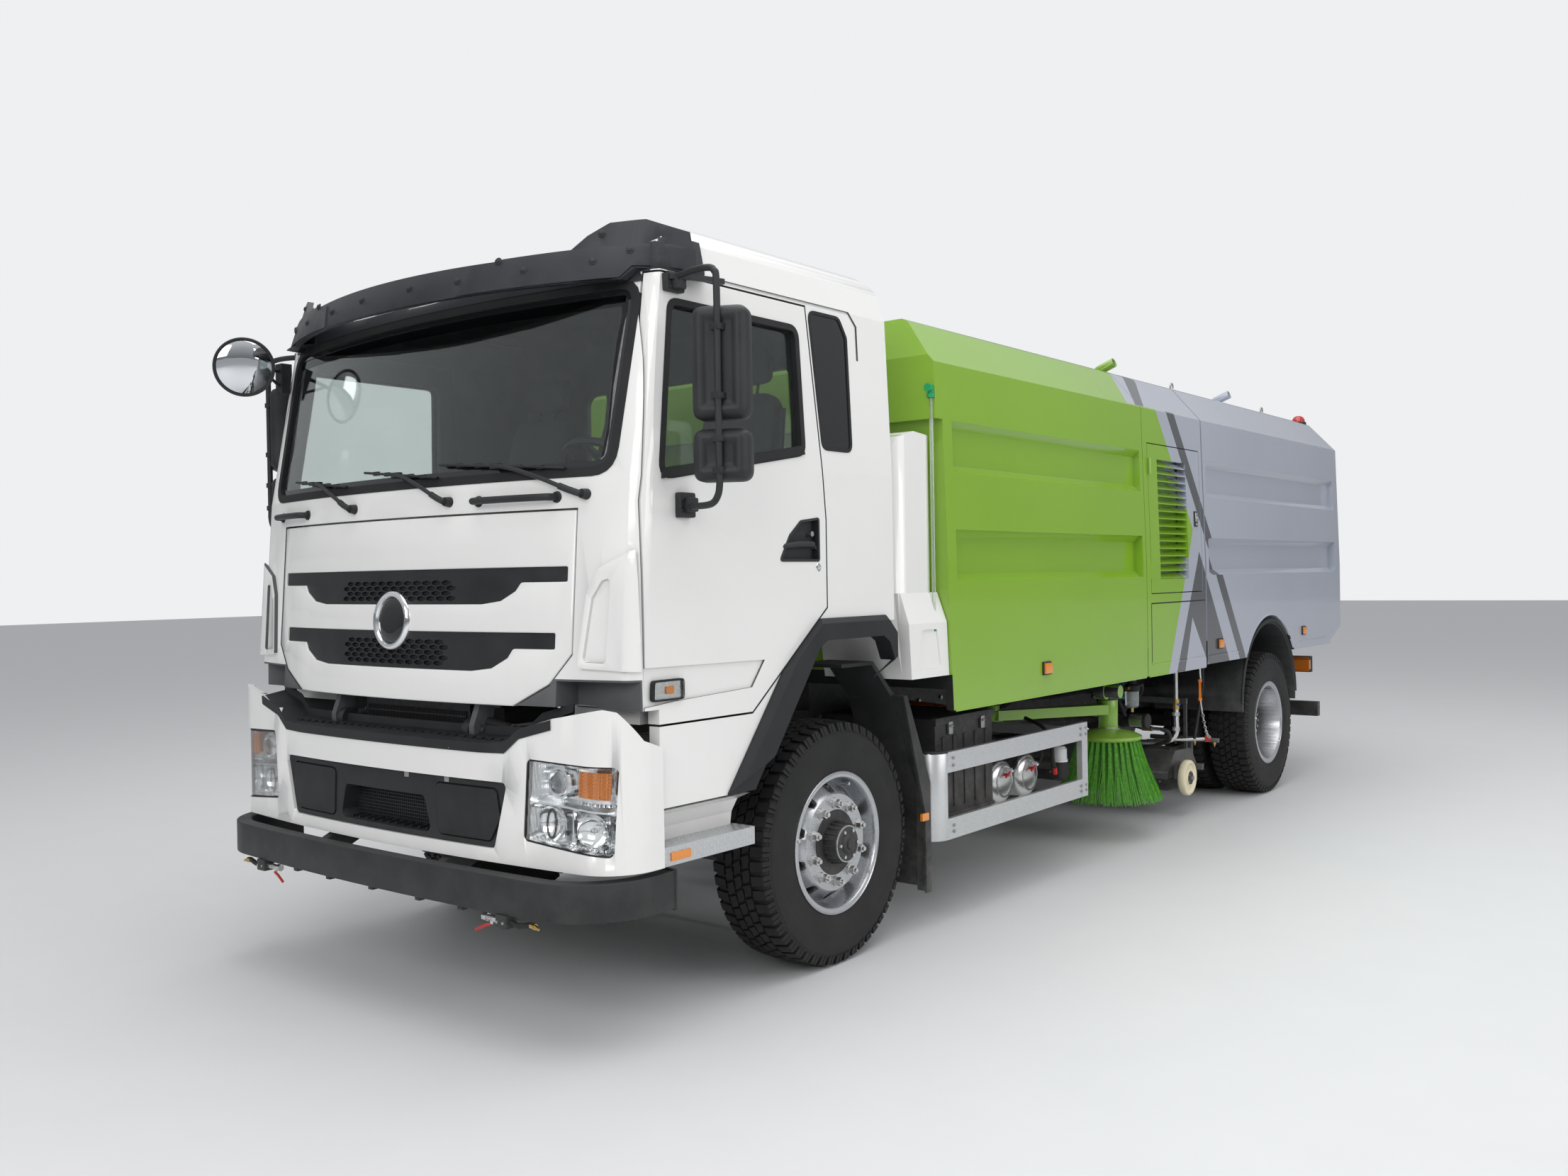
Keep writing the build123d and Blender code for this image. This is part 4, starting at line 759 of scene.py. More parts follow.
# Door furniture. A black handle cup with a bar pull, the lock's barrel, the clear side lamp, the
# sill groove's shadow line and the rubber along the door's foot.
chrome, tree, shader = surface("chrome", (0.8, 0.81, 0.82), 0.06, 1)
feed(tree, shader, Roughness=spread(tree, noise(tree, 30, 5), 0.3, 0.8, 0.04, 0.12))
clear_lens, tree, shader = surface("clear_lens", (0.93, 0.94, 0.94), 0.03, clear=1)
shader.inputs["IOR"].default_value = 1.35
ribs = wire(tree, "TexWave", spot_on(tree), 60, bands_direction="X").outputs["Fac"]
bump_from(tree, shader, ribs, 0.0006, 0.2)

handle_line = rounded([(-0.456, 1.728), (-0.198, 1.728), (-0.198, 1.903), (-0.32, 1.888), (-0.392, 1.83)],
                      0.01, 3)
lamp_line = rounded([(-1.195, 1.232), (-1.19, 1.302), (-1.035, 1.302), (-1.035, 1.232)], 0.012, 3)
bulb_line = rounded([(-1.125, 1.252), (-1.125, 1.282), (-1.085, 1.282), (-1.085, 1.252)], 0.006, 2)
for side, word in sides:
    place, door = on_side_panel(side), "cab_door_" + word
    cups, bars, barrels, lamps, bulbs, strips, sills, slots = fresh(8)
    plate(cups, grown(handle_line, -0.001), place, -0.031, -0.027)
    border(cups, grown(handle_line, 0.004), 0.01, place, -0.03, 0.0025, 0.03)
    pull = at(side * (cab_side_x(1.8) - 0.002), 0, 0)
    hose(cups, path(side, [(-0.024, -0.452, 1.775), (-0.004, -0.415, 1.787), (0.004, -0.33, 1.795),
                           (0.002, -0.25, 1.795), (-0.02, -0.215, 1.795)], pull), 0.013, 12, 6)
    rods(side, pull, (bars, (-0.03, -0.235, 1.838), (-0.003, -0.235, 1.838), 0.011, 18),
         (bars, (-0.03, -0.205, 1.783), (-0.006, -0.205, 1.783), 0.008, 14))
    lathe(barrels, [(0, 0.017), (0.004, 0.017), (0.0065, 0.014), (0.0065, 0.01), (0.004, 0.009), (0.004, 0)],
          at(side * (cab_side_x(1.7) - 0.004), -0.203, 1.7), (side, 0, 0), 24)
    border(strips, grown(lamp_line, 0.003), 0.007, place, -0.004, 0.011, 0.03)
    plate(bulbs, bulb_line, place, 0, 0.006)
    plate(bars, grown(lamp_line, -0.003), place, -0.002, 0.001)
    plate(lamps, grown(lamp_line, -0.004), place, 0.0065, 0.0135)
    foot_x = cab_side_x(1.1)
    blocks(side, sills, 0.004, ((foot_x - 0.03, -1.145, 1.118), (foot_x - 0.002, -0.65, 1.138)))
    # the slot stands 0.5 mm further out towards +X on either side
    inner, outer = sorted((side * (foot_x - 0.03), side * (foot_x - 0.002)))
    block(slots, at(inner, -1.148, 1.08), at(outer + 0.0005, -0.8, 1.112), 0.004)
    shape("handle_cup_" + word, cups, black_plastic, door)
    shape("key_barrel_" + word, barrels, chrome, door)
    shape("handle_lock_" + word, bars, steel, door)
    shape("side_lamp_rim_" + word, strips, rubber, door)
    shape("side_lamp_bulb_" + word, bulbs, amber_lens, door)
    shape("side_lamp_glass_" + word, lamps, clear_lens, door)
    shape("sill_rubber_" + word, sills, rubber, "cab")
    shape("sill_slot_" + word, slots, zinc, "cab")

# Wheels. Truck tyres with five rows of tread blocks, notched shoulders and smooth, dusty walls, on
# silver rims with ten flanged nuts each. The front hubs are black and ribbed, with a hexagon cap.
tyre_rubber, tree, shader = surface("tyre_rubber", (0.016, 0.016, 0.017), 0.7)
leather = use(tree, moulded, Scale=1500)
dirt = use(tree, road_film, Reach=1.5, Amount=0.38)["Film"]
worn = mingle(tree, leather["Mottle"], (0.008, 0.008, 0.009), (0.015, 0.015, 0.015))
feed(tree, shader, Base_Color=mingle(tree, dirt, worn, (0.055, 0.051, 0.046)),
     Roughness=spread(tree, dirt, 0, 0.6, 0.55, 0.85))
shader.inputs["Specular IOR Level"].default_value = 0.3
bump_from(tree, shader, leather["Height"], 0.0008, 0.5)

front_low, front_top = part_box("tyre_front_left")
rear_low, rear_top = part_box("tyre_rear_left")
axle_high = (front_low.z + front_top.z) / 2
tyre_radius = front_top.z - axle_high
half_tyre = (front_top.x - front_low.x) / 2
front_tyre_x = (front_low.x + front_top.x) / 2
rear_tyre_x = rear_top.x - half_tyre
twin_tyre_x = rear_low.x + half_tyre
wheelbase = (rear_low.y + rear_top.y) / 2 - front_axle_y


def lug(build, rings, turn, centre):
    # one tread block, from rings of (across, radius, around) corners
    made = []
    for ring in rings:
        angles = [turn + away / tyre_radius for _, _, away in ring]
        made.append([build.verts.new(centre + Vector((across, radius * math.sin(angle),
                                                      radius * math.cos(angle))))
                     for (across, radius, _), angle in zip(ring, angles)])
    capped(build, made)


def tyre(build, centre):
    # carcass with bead, wall, fine ridges and shoulder, then the blocks
    wall = [(0.112, 0.294), (0.128, 0.304), (0.139, 0.335), (0.1455, 0.372), (0.1468, 0.4), (0.1462, 0.404),
            (0.1472, 0.408), (0.1462, 0.438), (0.1425, 0.466), (0.1405, 0.4685), (0.1405, 0.4725),
            (0.1375, 0.48), (0.1345, 0.4815), (0.1335, 0.4865), (0.127, 0.499), (0.117, 0.507)]
    crown = [(-0.068, 0.5085), (0, 0.5095), (0.068, 0.5085)]
    scale = half_tyre / 0.1475
    profile = [(-across, radius) for across, radius in wall] + crown + wall[::-1]
    profile = [(across * scale, radius) for across, radius in profile]
    lathe(build, profile + profile[:1], centre, (1, 0, 0), 90, True)
    bmesh.ops.remove_doubles(build, verts=build.verts, dist=0.00002)
    pitches = 54
    half = 0.025
    for k in range(pitches):
        turn = 2 * math.pi * k / pitches
        # the middle row, and the two beside it half a pitch on
        for low, high, skew, shift in ((-0.017, 0.017, 0.008, 0), (0.026, 0.061, 0.006, 1),
                                       (-0.061, -0.026, 0.006, 1)):
            ring = [(low, -half - skew), (high, -half + skew), (high + 0.004, skew), (high, half + skew),
                    (low, half - skew), (low + 0.004, -skew)]
            middle = [sum(corner[axis] for corner in ring) / 6 for axis in (0, 1)]
            rings = [[(middle[0] + (a - middle[0]) * share, radius - 0.2 * a * a,
                       middle[1] + (b - middle[1]) * share)
                      for a, b in ring]
                     for radius, share in ((0.503, 1), (tyre_radius - 0.0018, 1), (tyre_radius, 0.94))]
            lug(build, rings, turn + shift * math.pi / pitches, centre)
        for side, _ in sides:
            # shoulder block, wrapped over on to the wall
            rings = [[(side * inner, inner_r, -long - 0.002), (side * outer, outer_r, -long + 0.004),
                      (side * outer, outer_r, -0.003), (side * (outer - 0.006), outer_r + 0.0005, 0),
                      (side * outer, outer_r, 0.003), (side * outer, outer_r, long + 0.002),
                      (side * inner, inner_r, long - 0.002)]
                     for inner, outer, inner_r, outer_r, long in (
                         (0.07, 0.1425, 0.5, 0.477, 0.021), (0.07, 0.133, 0.519, 0.5115, 0.0215),
                         (0.072, 0.13, 0.5205, 0.5145, 0.0195))]
            lug(build, rings, turn + 0.5 * math.pi / pitches * side, centre)


wheel_silver = bare_metal("wheel_silver", (0.56, 0.57, 0.59), 0.27, 0.95, 300, reach=0.95, amount=0.25)
hub_black = bare_metal("hub_black", (0.03, 0.031, 0.033), 0.48, 0.3, 40, reach=1, amount=0.6)
cast_black = bare_metal("cast_black", (0.028, 0.028, 0.03), 0.55, 0.2, 25, reach=1.3, amount=0.8)
dress(("rim_front_left", "rim_front_right", "rim_rear_left", "rim_rear_right"), wheel_silver, 0.0022, 30)

lip = [(0, 0.279), (0.0035, 0.281), (0.0045, 0.288), (0.0035, 0.297), (0.006, 0.3005), (0.005, 0.304),
       (-0.002, 0.305), (-0.006, 0.3), (0, 0.279)]
# each kind of wheel: body, station, tyres, and the places of its disc, flange lip and hub cover
wheels = (
    ("front", "front_wheel_", 0, (front_tyre_x,), front_tyre_x + 0.1145, front_tyre_x + 0.1285,
     front_tyre_x + 0.1805,
     [(-0.066, 0.1385), (-0.065, 0.1385), (-0.065, 0.0855), (-0.028, 0.0835), (-0.006, 0.08),
      (0.0015, 0.072), (0.004, 0.056), (0.0025, 0.044), (0.009, 0.04), (0.012, 0.034), (0.0125, 0)]),
    ("rear", "rear_wheels_", wheelbase, (rear_tyre_x, twin_tyre_x), rear_tyre_x - 0.158,
     rear_tyre_x + 0.1285, rear_tyre_x + 0.008,
     [(-0.166, 0.1125), (-0.006, 0.1125), (0.001, 0.106), (0.004, 0.1), (0.004, 0.07), (0.014, 0.056),
      (0.022, 0.05), (0.026, 0.03), (0.027, 0)]),
)
for side, word in sides:
    for kind, body, station, tyre_xs, disc_x, lip_x, hub_x, cover in wheels:
        treads, nuts, lips, hubs = fresh(4)
        for tyre_x in tyre_xs:
            tyre(treads, at(side * tyre_x, station, axle_high))
        disc, flange, hub = (at(side * x, station, axle_high) for x in (disc_x, lip_x, hub_x))
        # studs with washers and nuts, rolled flange lips, valve and balance weights
        for foot in around(10, 0.1675, axis="X"):
            rods(side, disc + foot, (nuts, (0, 0, 0), (0.006, 0, 0), 0.0235, 20),
                 (nuts, (0.004, 0, 0), (0.03, 0, 0), 0.0195, 6, 0.0195 * 0.93),
                 (nuts, (0.028, 0, 0), (0.042, 0, 0), 0.0105, 12, 0.0105 * 0.93))
        lathe(lips, lip, flange, (side, 0, 0), 72, True)
        valve = flange + around(1, 0.256, 0.35, "X")[0]
        rods(side, valve, (nuts, (-0.055, 0, 0), (-0.005, 0, 0), 0.0045, 10),
             (nuts, (-0.011, 0, 0), (0.001, 0, 0), 0.0065, 10))
        for angle in (2.2, 4.9):
            rods(side, flange + around(1, 0.284, angle, "X")[0],
                 (nuts, (0, 0, 0), (0.009, 0, 0), 0.011, 14, 0.008))
        lathe(hubs, cover, hub, (side, 0, 0), 48)
        if kind == "front":
            for inner, outer in zip(around(20, 0.088, axis="X"), around(20, 0.0815, axis="X")):
                rod(hubs, hub + inner + Vector((side * -0.062, 0, 0)),
                    hub + outer + Vector((side * -0.012, 0, 0)), 0.0055, 8, 0.004)
            rods(side, hub, (hubs, (0.01, 0, 0), (0.0185, 0, 0), 0.026, 6, 0.024))
            for away in around(6, 0.06, math.pi / 6, "X"):
                rods(side, hub + away, (nuts, (0.001, 0, 0), (0.01, 0, 0), 0.0075, 6))
        else:
            for away in around(12, 0.085, axis="X"):
                rods(side, hub + away, (nuts, (0.002, 0, 0), (0.018, 0, 0), 0.0095, 6))
        ending = kind + "_" + word
        tread = shape("tread_" + ending, treads, tyre_rubber, body + word, angle=28)
        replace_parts(tread, "tyre_" + ending)
        shape("wheel_nuts_" + ending, nuts, steel, body + word)
        shape("wheel_lip_" + ending, lips, wheel_silver, body + word)
        shape("wheel_hub_" + ending, hubs, hub_black, body + word)

# Front face. Grille strips and honeycomb of black plastic, a plain chrome ring round a dark disc,
# wipers, grab bars, the radiator's fins in the gap above the bumper, and the bolted sun visor.
grille_plastic = plastic("grille_plastic", (0.014, 0.0145, 0.016), 0.36, 1100)
insert_plastic = plastic("insert_plastic", (0.016, 0.017, 0.018), 0.5, 700, 1, 0.4)
dress(("grille",), grille_plastic, 0.0008, 40)
dress(("bumper_insert",), insert_plastic, 0.0015, 40)
dress(("front_bumper",), outer_white)


def touch(node_name, start, way):
    # where a straight line first meets a CAD node, and which way the surface faces there
    node = nodes[node_name]
    inverse = node.matrix_world.inverted()
    start, way = Vector(start), Vector(way).normalized()
    hit, spot, normal, _ = node.ray_cast(inverse @ start, inverse.to_3x3() @ way)
    if not hit:
        return start, -way
    return node.matrix_world @ spot, (node.matrix_world.to_3x3() @ normal).normalized()


rings, discs = fresh(2)
emblem = on_nose(0, 1.516, -0.01)
ahead = Vector((0, -1, 0.073)).normalized()
lathe(rings, [(0, 0.12), (0.01, 0.119), (0.019, 0.113), (0.022, 0.106), (0.019, 0.096), (0.011, 0.091),
              (0.006, 0.09), (0.006, 0)], emblem, ahead, 64)
lathe(discs, [(0.004, 0.0905), (0.009, 0.089), (0.0125, 0.08), (0.0145, 0.05), (0.015, 0)], emblem, ahead)
shape("emblem_ring", rings, chrome, "front_flap")
shape("emblem_disc", discs, dark_pane, "front_flap")

# wipers: capped pivots on the waist, arms with hinge caps, and long blades lying on the screen's foot
arms, blades = fresh(2)
pivot_high = 1.972
for pivot_x, reach in ((1, -0.52), (0.33, -0.4), (-0.3, -0.4)):
    base = on_nose(pivot_x, pivot_high, -0.004)
    rod(arms, base, base + ahead * 0.03, 0.021, 20, 0.017)
    rod(arms, base + ahead * 0.03, base + ahead * 0.038, 0.01, 6)
    line = [on_nose(pivot_x + reach * share, high, lift) for share, high, lift in (
        (0, pivot_high, 0.026), (0.1, 1.99, 0.032), (0.35, 2.04, 0.038), (0.6, 2.078, 0.034),
        (0.8, 2.098, 0.026))]
    hose(arms, line, 0.0085, 8, 5)
    sweep(arms, line[:2] + [line[1].lerp(line[2], 0.3)], 0.0125)
    blade = [(pivot_x + reach * (0.8 + t), 2.096 + 0.04 * t) for t in (-0.62, -0.4, -0.2, 0, 0.2, 0.4, 0.62)]
    hose(blades, [on_nose(*point, 0.0035) for point in blade], 0.004, 6, 3)
    # the blade's spring arches over it, held by four clips and a hinge in the middle
    spring = [on_nose(*point, 0.011 + 0.008 * (1 - abs(k - 3) / 3)) for k, point in enumerate(blade)]
    hose(arms, spring, 0.0052, 8, 3)
    for k in (1, 2, 4, 5):
        lump(arms, on_nose(*blade[k], 0.009), (0.016, 0.006, 0.008))
    lump(arms, on_nose(*blade[3], 0.02), (0.026, 0.01, 0.01), 0.003)
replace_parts(shape("wiper_arms", arms, black_plastic, "cab"), "wipers")
shape("wiper_blades", blades, rubber, "cab")

# grab bars on the waist, bolted at each end
bars = bmesh.new()
bar_high = 1.967
for start_x, end_x, way in ((0.49, 0.87, 1), (-0.72, -1, -1)):
    line = [on_nose(x, bar_high, lift) for x, lift in (
        (start_x, -0.002), (start_x + way * 0.004, 0.028), (start_x + way * 0.03, 0.042),
        ((start_x + end_x) / 2, 0.046), (end_x - way * 0.03, 0.042), (end_x - way * 0.004, 0.028),
        (end_x, -0.002))]
    hose(bars, line, 0.0135, 12, 6)
    for x in (start_x, end_x):
        rod(bars, on_nose(x, bar_high, -0.003), on_nose(x, bar_high, 0.007), 0.023, 18, 0.02)
shape("grab_bars", bars, black_plastic, "cab")

# visor bolts
bolts = bmesh.new()
visor_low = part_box("sun_visor")[0].z
for side, _ in sides:
    for x, lift in ((0.16, 0.055), (0.42, 0.05), (0.72, 0.055), (0.98, 0.065), (0.98, 0.175), (1.1, 0.1),
                    (0.6, 0.105)):
        spot, facing = touch("sun_visor", at(side * x, -2.5, visor_low + lift + 0.02), (0, 1, 0))
        if spot.y > at(0, -2.4, 0).y:
            lathe(bolts, [(-0.002, 0.015), (0.002, 0.015), (0.003, 0.01), (0.007, 0.009), (0.009, 0.005),
                          (0.0095, 0)], spot, facing, 18)
shape("visor_bolts", bolts, black_plastic, "cab")
# wrapped ends behind the blade, moulded over the corners of the cab; where a ray misses the shell
# the reach of the row before it holds
wraps = bmesh.new()
full_reach = 0.45
for side, _ in sides:
    rows = []
    for high in [2.742 + 0.02 * k for k in range(10)]:
        row, reach = [], full_reach
        for turn in [math.radians(8 + 2 * k) for k in range(38)]:
            away = Vector((side * math.cos(turn), -math.sin(turn), 0))
            centre = at(side * 0.86, -0.8, high)
            spot, _ = touch("cab_shell", centre + away * 0.7, -away)
            reach = min((spot - centre).length, full_reach, reach * 1.06)
            row.append([wraps.verts.new(centre + away * (reach + step)) for step in (-0.004, 0.009)])
        rows.append(row)
    for k in (0, 1):
        skin(wraps, [[pair[k] for pair in row] for row in rows], False)
    edge = [row[0] for row in rows] + rows[-1][1:] + [row[-1] for row in rows[-2::-1]] + rows[0][-2:0:-1]
    for here, there in zip(edge, edge[1:] + edge[:1]):
        wraps.faces.new((here[0], there[0], there[1], here[1]))
shape("visor_wraps", wraps, visor_plastic, "cab")
# painted shadow: a matte black sheet laid on the shell between the screen and the visor, where the visor's
# shadow falls
shadow_sheet, rows = bmesh.new(), []
for high in [cab_top - 0.279 + 0.022 * k for k in range(6)]:
    spots = [touch("cab_shell", at(-1.16 + 0.04 * k, -2.2, high), (0, 1, 0)) for k in range(59)]
    rows.append([shadow_sheet.verts.new(spot + facing * 0.004) for spot, facing in spots])
skin(shadow_sheet, rows, False)
shape("visor_shadow_sheet", shadow_sheet, visor_plastic, "cab")
# small aerial dome on the roof, held by three screws
dome = bmesh.new()
roof_spot, _ = touch("cab_shell", at(0.72, -0.62, 4), (0, 0, -1))
lathe(dome, [(-0.005, 0.055), (0.01, 0.054), (0.018, 0.046), (0.036, 0.036), (0.05, 0.018), (0.053, 0)],
      roof_spot, count=32)
for k in range(3):
    screw = roof_spot + Vector((0.048 * math.cos(2.1 * k), 0.048 * math.sin(2.1 * k), 0.01))
    rod(dome, screw, screw + Vector((0, 0, 0.008)), 0.004, 8)
shape("roof_aerial", dome, grille_plastic, "cab")

# radiator: dark fins, tanks with hoses and clips, and the slotted strip along the bumper's top
dress(("cooling_pack",), hub_black, 0.002)
fins, hoses, clips = fresh(3)
pack_low, pack_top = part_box("cooling_pack")
front_y = pack_low.y


def evenly(start, end, count):
    # values spaced evenly from start to end
    return [start + (end - start) * k / (count - 1) for k in range(count)]


for x in evenly(-0.325, 0.325, 66):
    block(fins, (x - 0.0016, front_y - 0.007, pack_low.z + 0.03),
          (x + 0.0016, front_y - 0.0005, pack_top.z - 0.03), 0)
for z in evenly(pack_low.z + 0.05, pack_top.z - 0.05, 12):
    block(fins, (-0.33, front_y - 0.0085, z - 0.003), (0.33, front_y - 0.0075, z + 0.003), 0)
for side, high in ((1, 1.15), (-1, 1.12)):
    line = path(side, [(0.3, 0.09, 0), (0.37, 0.03, 0.01), (0.46, -0.01, -0.02), (0.58, 0.02, -0.05),
                       (0.66, 0.1, -0.12)], Vector((0, front_y, high)))
    hose(hoses, line, 0.021, 14)
    for clip in (line[1], line[3]):
        rods(1, clip, (clips, (-0.006, 0, 0), (0.006, 0, 0), 0.0235, 20))
for x in evenly(-0.66, 0.66, 26):
    block(hoses, at(x - 0.017, -1.425, 1.08), at(x + 0.017, -1.405, 1.089))
# black trim laid over the bumper's top edge, running up beside each horn, with its slots
trims = bmesh.new()
half_line = [(0.955, 1.172), (0.8, 1.132), (0.725, 1.076), (0.6, 1.072)]
trim_line = [Vector((-x, z)) for x, z in half_line] + [Vector((0, 1.072))]
trim_line += [Vector(point) for point in half_line[::-1]]
trim_line = [a.lerp(b, n / 8) for a, b in zip(trim_line, trim_line[1:]) for n in range(8)] + trim_line[-1:]
trim_steps = ((-0.004, -0.034), (-0.006, 0.002), (0.02, 0.006), (0.105, 0.02), (0.11, 0.05), (0.114, 0.05),
              (0.112, 0.012))
skin(trims, [[trims.verts.new(at(x, -1.475 + 0.09 * (x / 1.245) ** 2 + back, z + rise))
              for x, z in trim_line] for back, rise in trim_steps], False)
shape("bumper_trim", trims, insert_plastic)
shape("radiator_fins", fins, cast_black, smooth=False)
shape("radiator_hoses", hoses, rubber)
for node_name, x, z in (("front_bumper", 0.1, 1.055), ("front_bumper", 0.42, 1.055),
                        ("bumper_insert", 0.16, 0.925), ("bumper_insert", 0.4, 0.925)):
    lump(clips, touch(node_name, at(x, -2.4, z), (0, 1, 0))[0], (0.014, 0.004, 0.012))
shape("hose_clips", clips, zinc)

# intake mesh and the ribs on its floor
meshes = bmesh.new()
back_y = touch("bumper_insert", at(0.01, -2.4, 0.78), (0, 1, 0))[0].y - 0.004
for x in evenly(-0.27, 0.27, 40):
    block(meshes, (x - 0.002, back_y - 0.003, 0.722), (x + 0.002, back_y, 0.842), 0)
for z in evenly(0.728, 0.836, 9):
    block(meshes, (-0.28, back_y - 0.005, z - 0.002), (0.28, back_y - 0.002, z + 0.002), 0)
for x in evenly(-0.25, 0.25, 11):
    block(meshes, (x - 0.004, back_y - 0.05, 0.712), (x + 0.004, back_y - 0.002, 0.722), 0.001)
shape("intake_mesh", meshes, grille_plastic, smooth=False)

# Headlamps. A clear cover follows the bumper over a chrome bowl in two storeys: projector and ribbed
# amber indicator above, two reflectors below, with rows of small prisms and a black gasket round all.
inner_low, inner_top, outer_top, outer_low = (0.812, 0.735), (0.835, 1.03), (1.205, 1.015), (1.19, 0.7)
bend_radius = 0.185
flat_x = 1.24 - bend_radius


def lamp_point(side, across, up, depth):
    # across runs from the inner to the outer edge, up from the foot to the head, depth inwards
    foot, head = ([a + (b - a) * across for a, b in zip(*ends)]
                  for ends in ((inner_low, outer_low), (inner_top, outer_top)))
    x, z = (a + (b - a) * up for a, b in zip(foot, head))
    station = -1.47 + 0.09 * (min(x, flat_x) / 1.24) ** 2
    if x > flat_x:
        station = station + bend_radius - math.sqrt(max(0, bend_radius ** 2 - (x - flat_x) ** 2)) * 0.98
    facing_out = Vector((max(0, x - flat_x + 0.03) / 0.215, -1)).normalized()
    return at(side * (x - facing_out.x * depth), station - facing_out.y * depth, z)


def lamp_sheet(build, side, spans, depth_of, columns, rows):
    # a sheet over part of the lamp, set in by a depth that varies over it
    left, right, low, top = spans
    skin(build, [[build.verts.new(lamp_point(side, across, up, depth_of(across, up)))
                  for across in evenly(left, right, columns + 1)] for up in evenly(low, top, rows + 1)],
         False)


def bowl_depth(across, up):
    # two storeys, parted by a shelf that comes forward
    edge = min(across, 1 - across, up, 1 - up)
    shelf = min(1, abs(up - 0.47) / 0.07)
    post = min(1, abs(across - 0.52) / 0.06) if up < 0.47 else 1
    return 0.014 + 0.06 * min(1, edge / 0.09) * max(0.25, min(shelf, post))


reflector, tree, shader = surface("lamp_reflector", (0.78, 0.79, 0.8), 0.1, 1)
flutes = wire(tree, "TexWave", spot_on(tree), 55, bands_direction="X").outputs["Fac"]
bump_from(tree, shader, flutes, 0.001, 0.25)
for side, word in sides:
    covers, bowls, rims, ambers, balls, gaskets, darks = fresh(7)
    lamp_sheet(covers, side, (0, 1, 0, 1), lambda across, up: 0, 30, 20)
    lamp_sheet(bowls, side, (0.01, 0.99, 0.01, 0.99), bowl_depth, 60, 48)
    lamp_sheet(ambers, side, (0.6, 0.94, 0.62, 0.92),
               lambda across, up: 0.02 + 0.003 * math.cos(across * 230), 40, 8)
    # the projector, and two low reflectors with their bulbs
    for across, up, depth, ring, ball in (
        (0.33, 0.74, 0.055, [(0, 0.058), (0.02, 0.06), (0.026, 0.056), (0.026, 0.048), (0.014, 0.043)],
         [(0.008, 0.0435), (0.018, 0.041), (0.027, 0.032), (0.032, 0.018), (0.0335, 0)]),
        *((across, 0.25, 0.066, [(0.002, 0.012), (0.004, 0.026), (0.014, 0.046), (0.03, radius),
                                 (0.034, radius + 0.003), (0.03, radius + 0.005)],
           [(0, 0.011), (0.022, 0.011), (0.028, 0.007), (0.03, 0)])
          for across, radius in ((0.27, 0.062), (0.76, 0.055))),
    ):
        look = (lamp_point(side, across, up, 0) - lamp_point(side, across, up, 0.05)).normalized()
        middle = lamp_point(side, across, up, depth)
        lathe(rims, ring, middle, look, 40, True)
        lathe(balls, ball, middle, look, 32 if up > 0.5 else 20)
    # dark oval before the inner low reflector
    sweep(darks, [lamp_point(side, 0.27 + 0.055 * math.cos(turn), 0.25 + 0.17 * math.sin(turn), 0.026)
                  for turn in evenly(0, 2 * math.pi, 33)], 0.0045, 8)
    # prisms below the amber, and the light strip along the foot
    for k in range(9):
        lump(balls, lamp_point(side, 0.6 + 0.042 * k, 0.555, 0.03), (0.0055, 0.006, 0.006))
    for k in range(18):
        lump(balls, lamp_point(side, 0.08 + 0.05 * k, 0.055, 0.022), (0.006, 0.005, 0.004), 0.0015)
    edge = [(k / 14, 0) for k in range(14)] + [(1, k / 10) for k in range(10)]
    edge += [(1 - k / 14, 1) for k in range(14)] + [(0, 1 - k / 10) for k in range(11)]
    sweep(gaskets, [lamp_point(side, across, up, 0.004) for across, up in edge], 0.0065, 8)
    cover = shape("lamp_cover_" + word, covers, clear_lens, angle=60)
    wall = cover.modifiers.new("wall", "SOLIDIFY")
    wall.thickness = 0.0025
    if side > 0:
        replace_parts(cover, "headlamps")
    shape("lamp_bowl_" + word, bowls, reflector, angle=50)
    shape("lamp_rims_" + word, rims, chrome)
    shape("lamp_indicator_" + word, ambers, amber_lens)
    shape("lamp_prisms_" + word, balls, clear_lens)
    shape("lamp_gasket_" + word, gaskets, rubber)
    shape("lamp_oval_" + word, darks, grille_plastic)

# Chassis. Black painted rails, axles and springs, aluminium side guards and step treads, steel
# reservoirs with domed ends, battery boxes with latched lids and the finned drive motor.
chassis_paint = bare_metal("chassis_paint", (0.026, 0.027, 0.029), 0.46, 0.15, 30, reach=1.3, amount=0.7)
aluminium = bare_metal("brushed_aluminium", (0.7, 0.71, 0.72), 0.36, 0.9, 90, (6, 0.3, 6), 1, 0.25)
guard_plastic = plastic("guard_plastic", (0.019, 0.02, 0.021), 0.52, 600, 1.3, 0.75)
brass = bare_metal("brass", (0.62, 0.43, 0.16), 0.3, amount=0.2)
red_plastic = plastic("red_plastic", (0.48, 0.018, 0.014), 0.38, 1500)
dress(("frame_rails", "leaf_springs", "front_axle", "rear_axle", "knuckle_left", "knuckle_right", "tie_rod"),
      chassis_paint, 0.002, 40)
dress(("battery_boxes", "drive_motor"), cast_black, 0.006, 40)
dress(("air_tanks",), steel, 0.003)
dress(("side_guards",), aluminium, 0.002, 40)
dress(("wheel_guards",), guard_plastic, 0.002, 50)
dress(("rear_bumper",), chassis_paint, 0.004, 40)
dress(("front_spray_bar",), plastic("bar_paint", (0.017, 0.018, 0.019), 0.38, 1000, 0.9, 0.4), 0.004, 40)

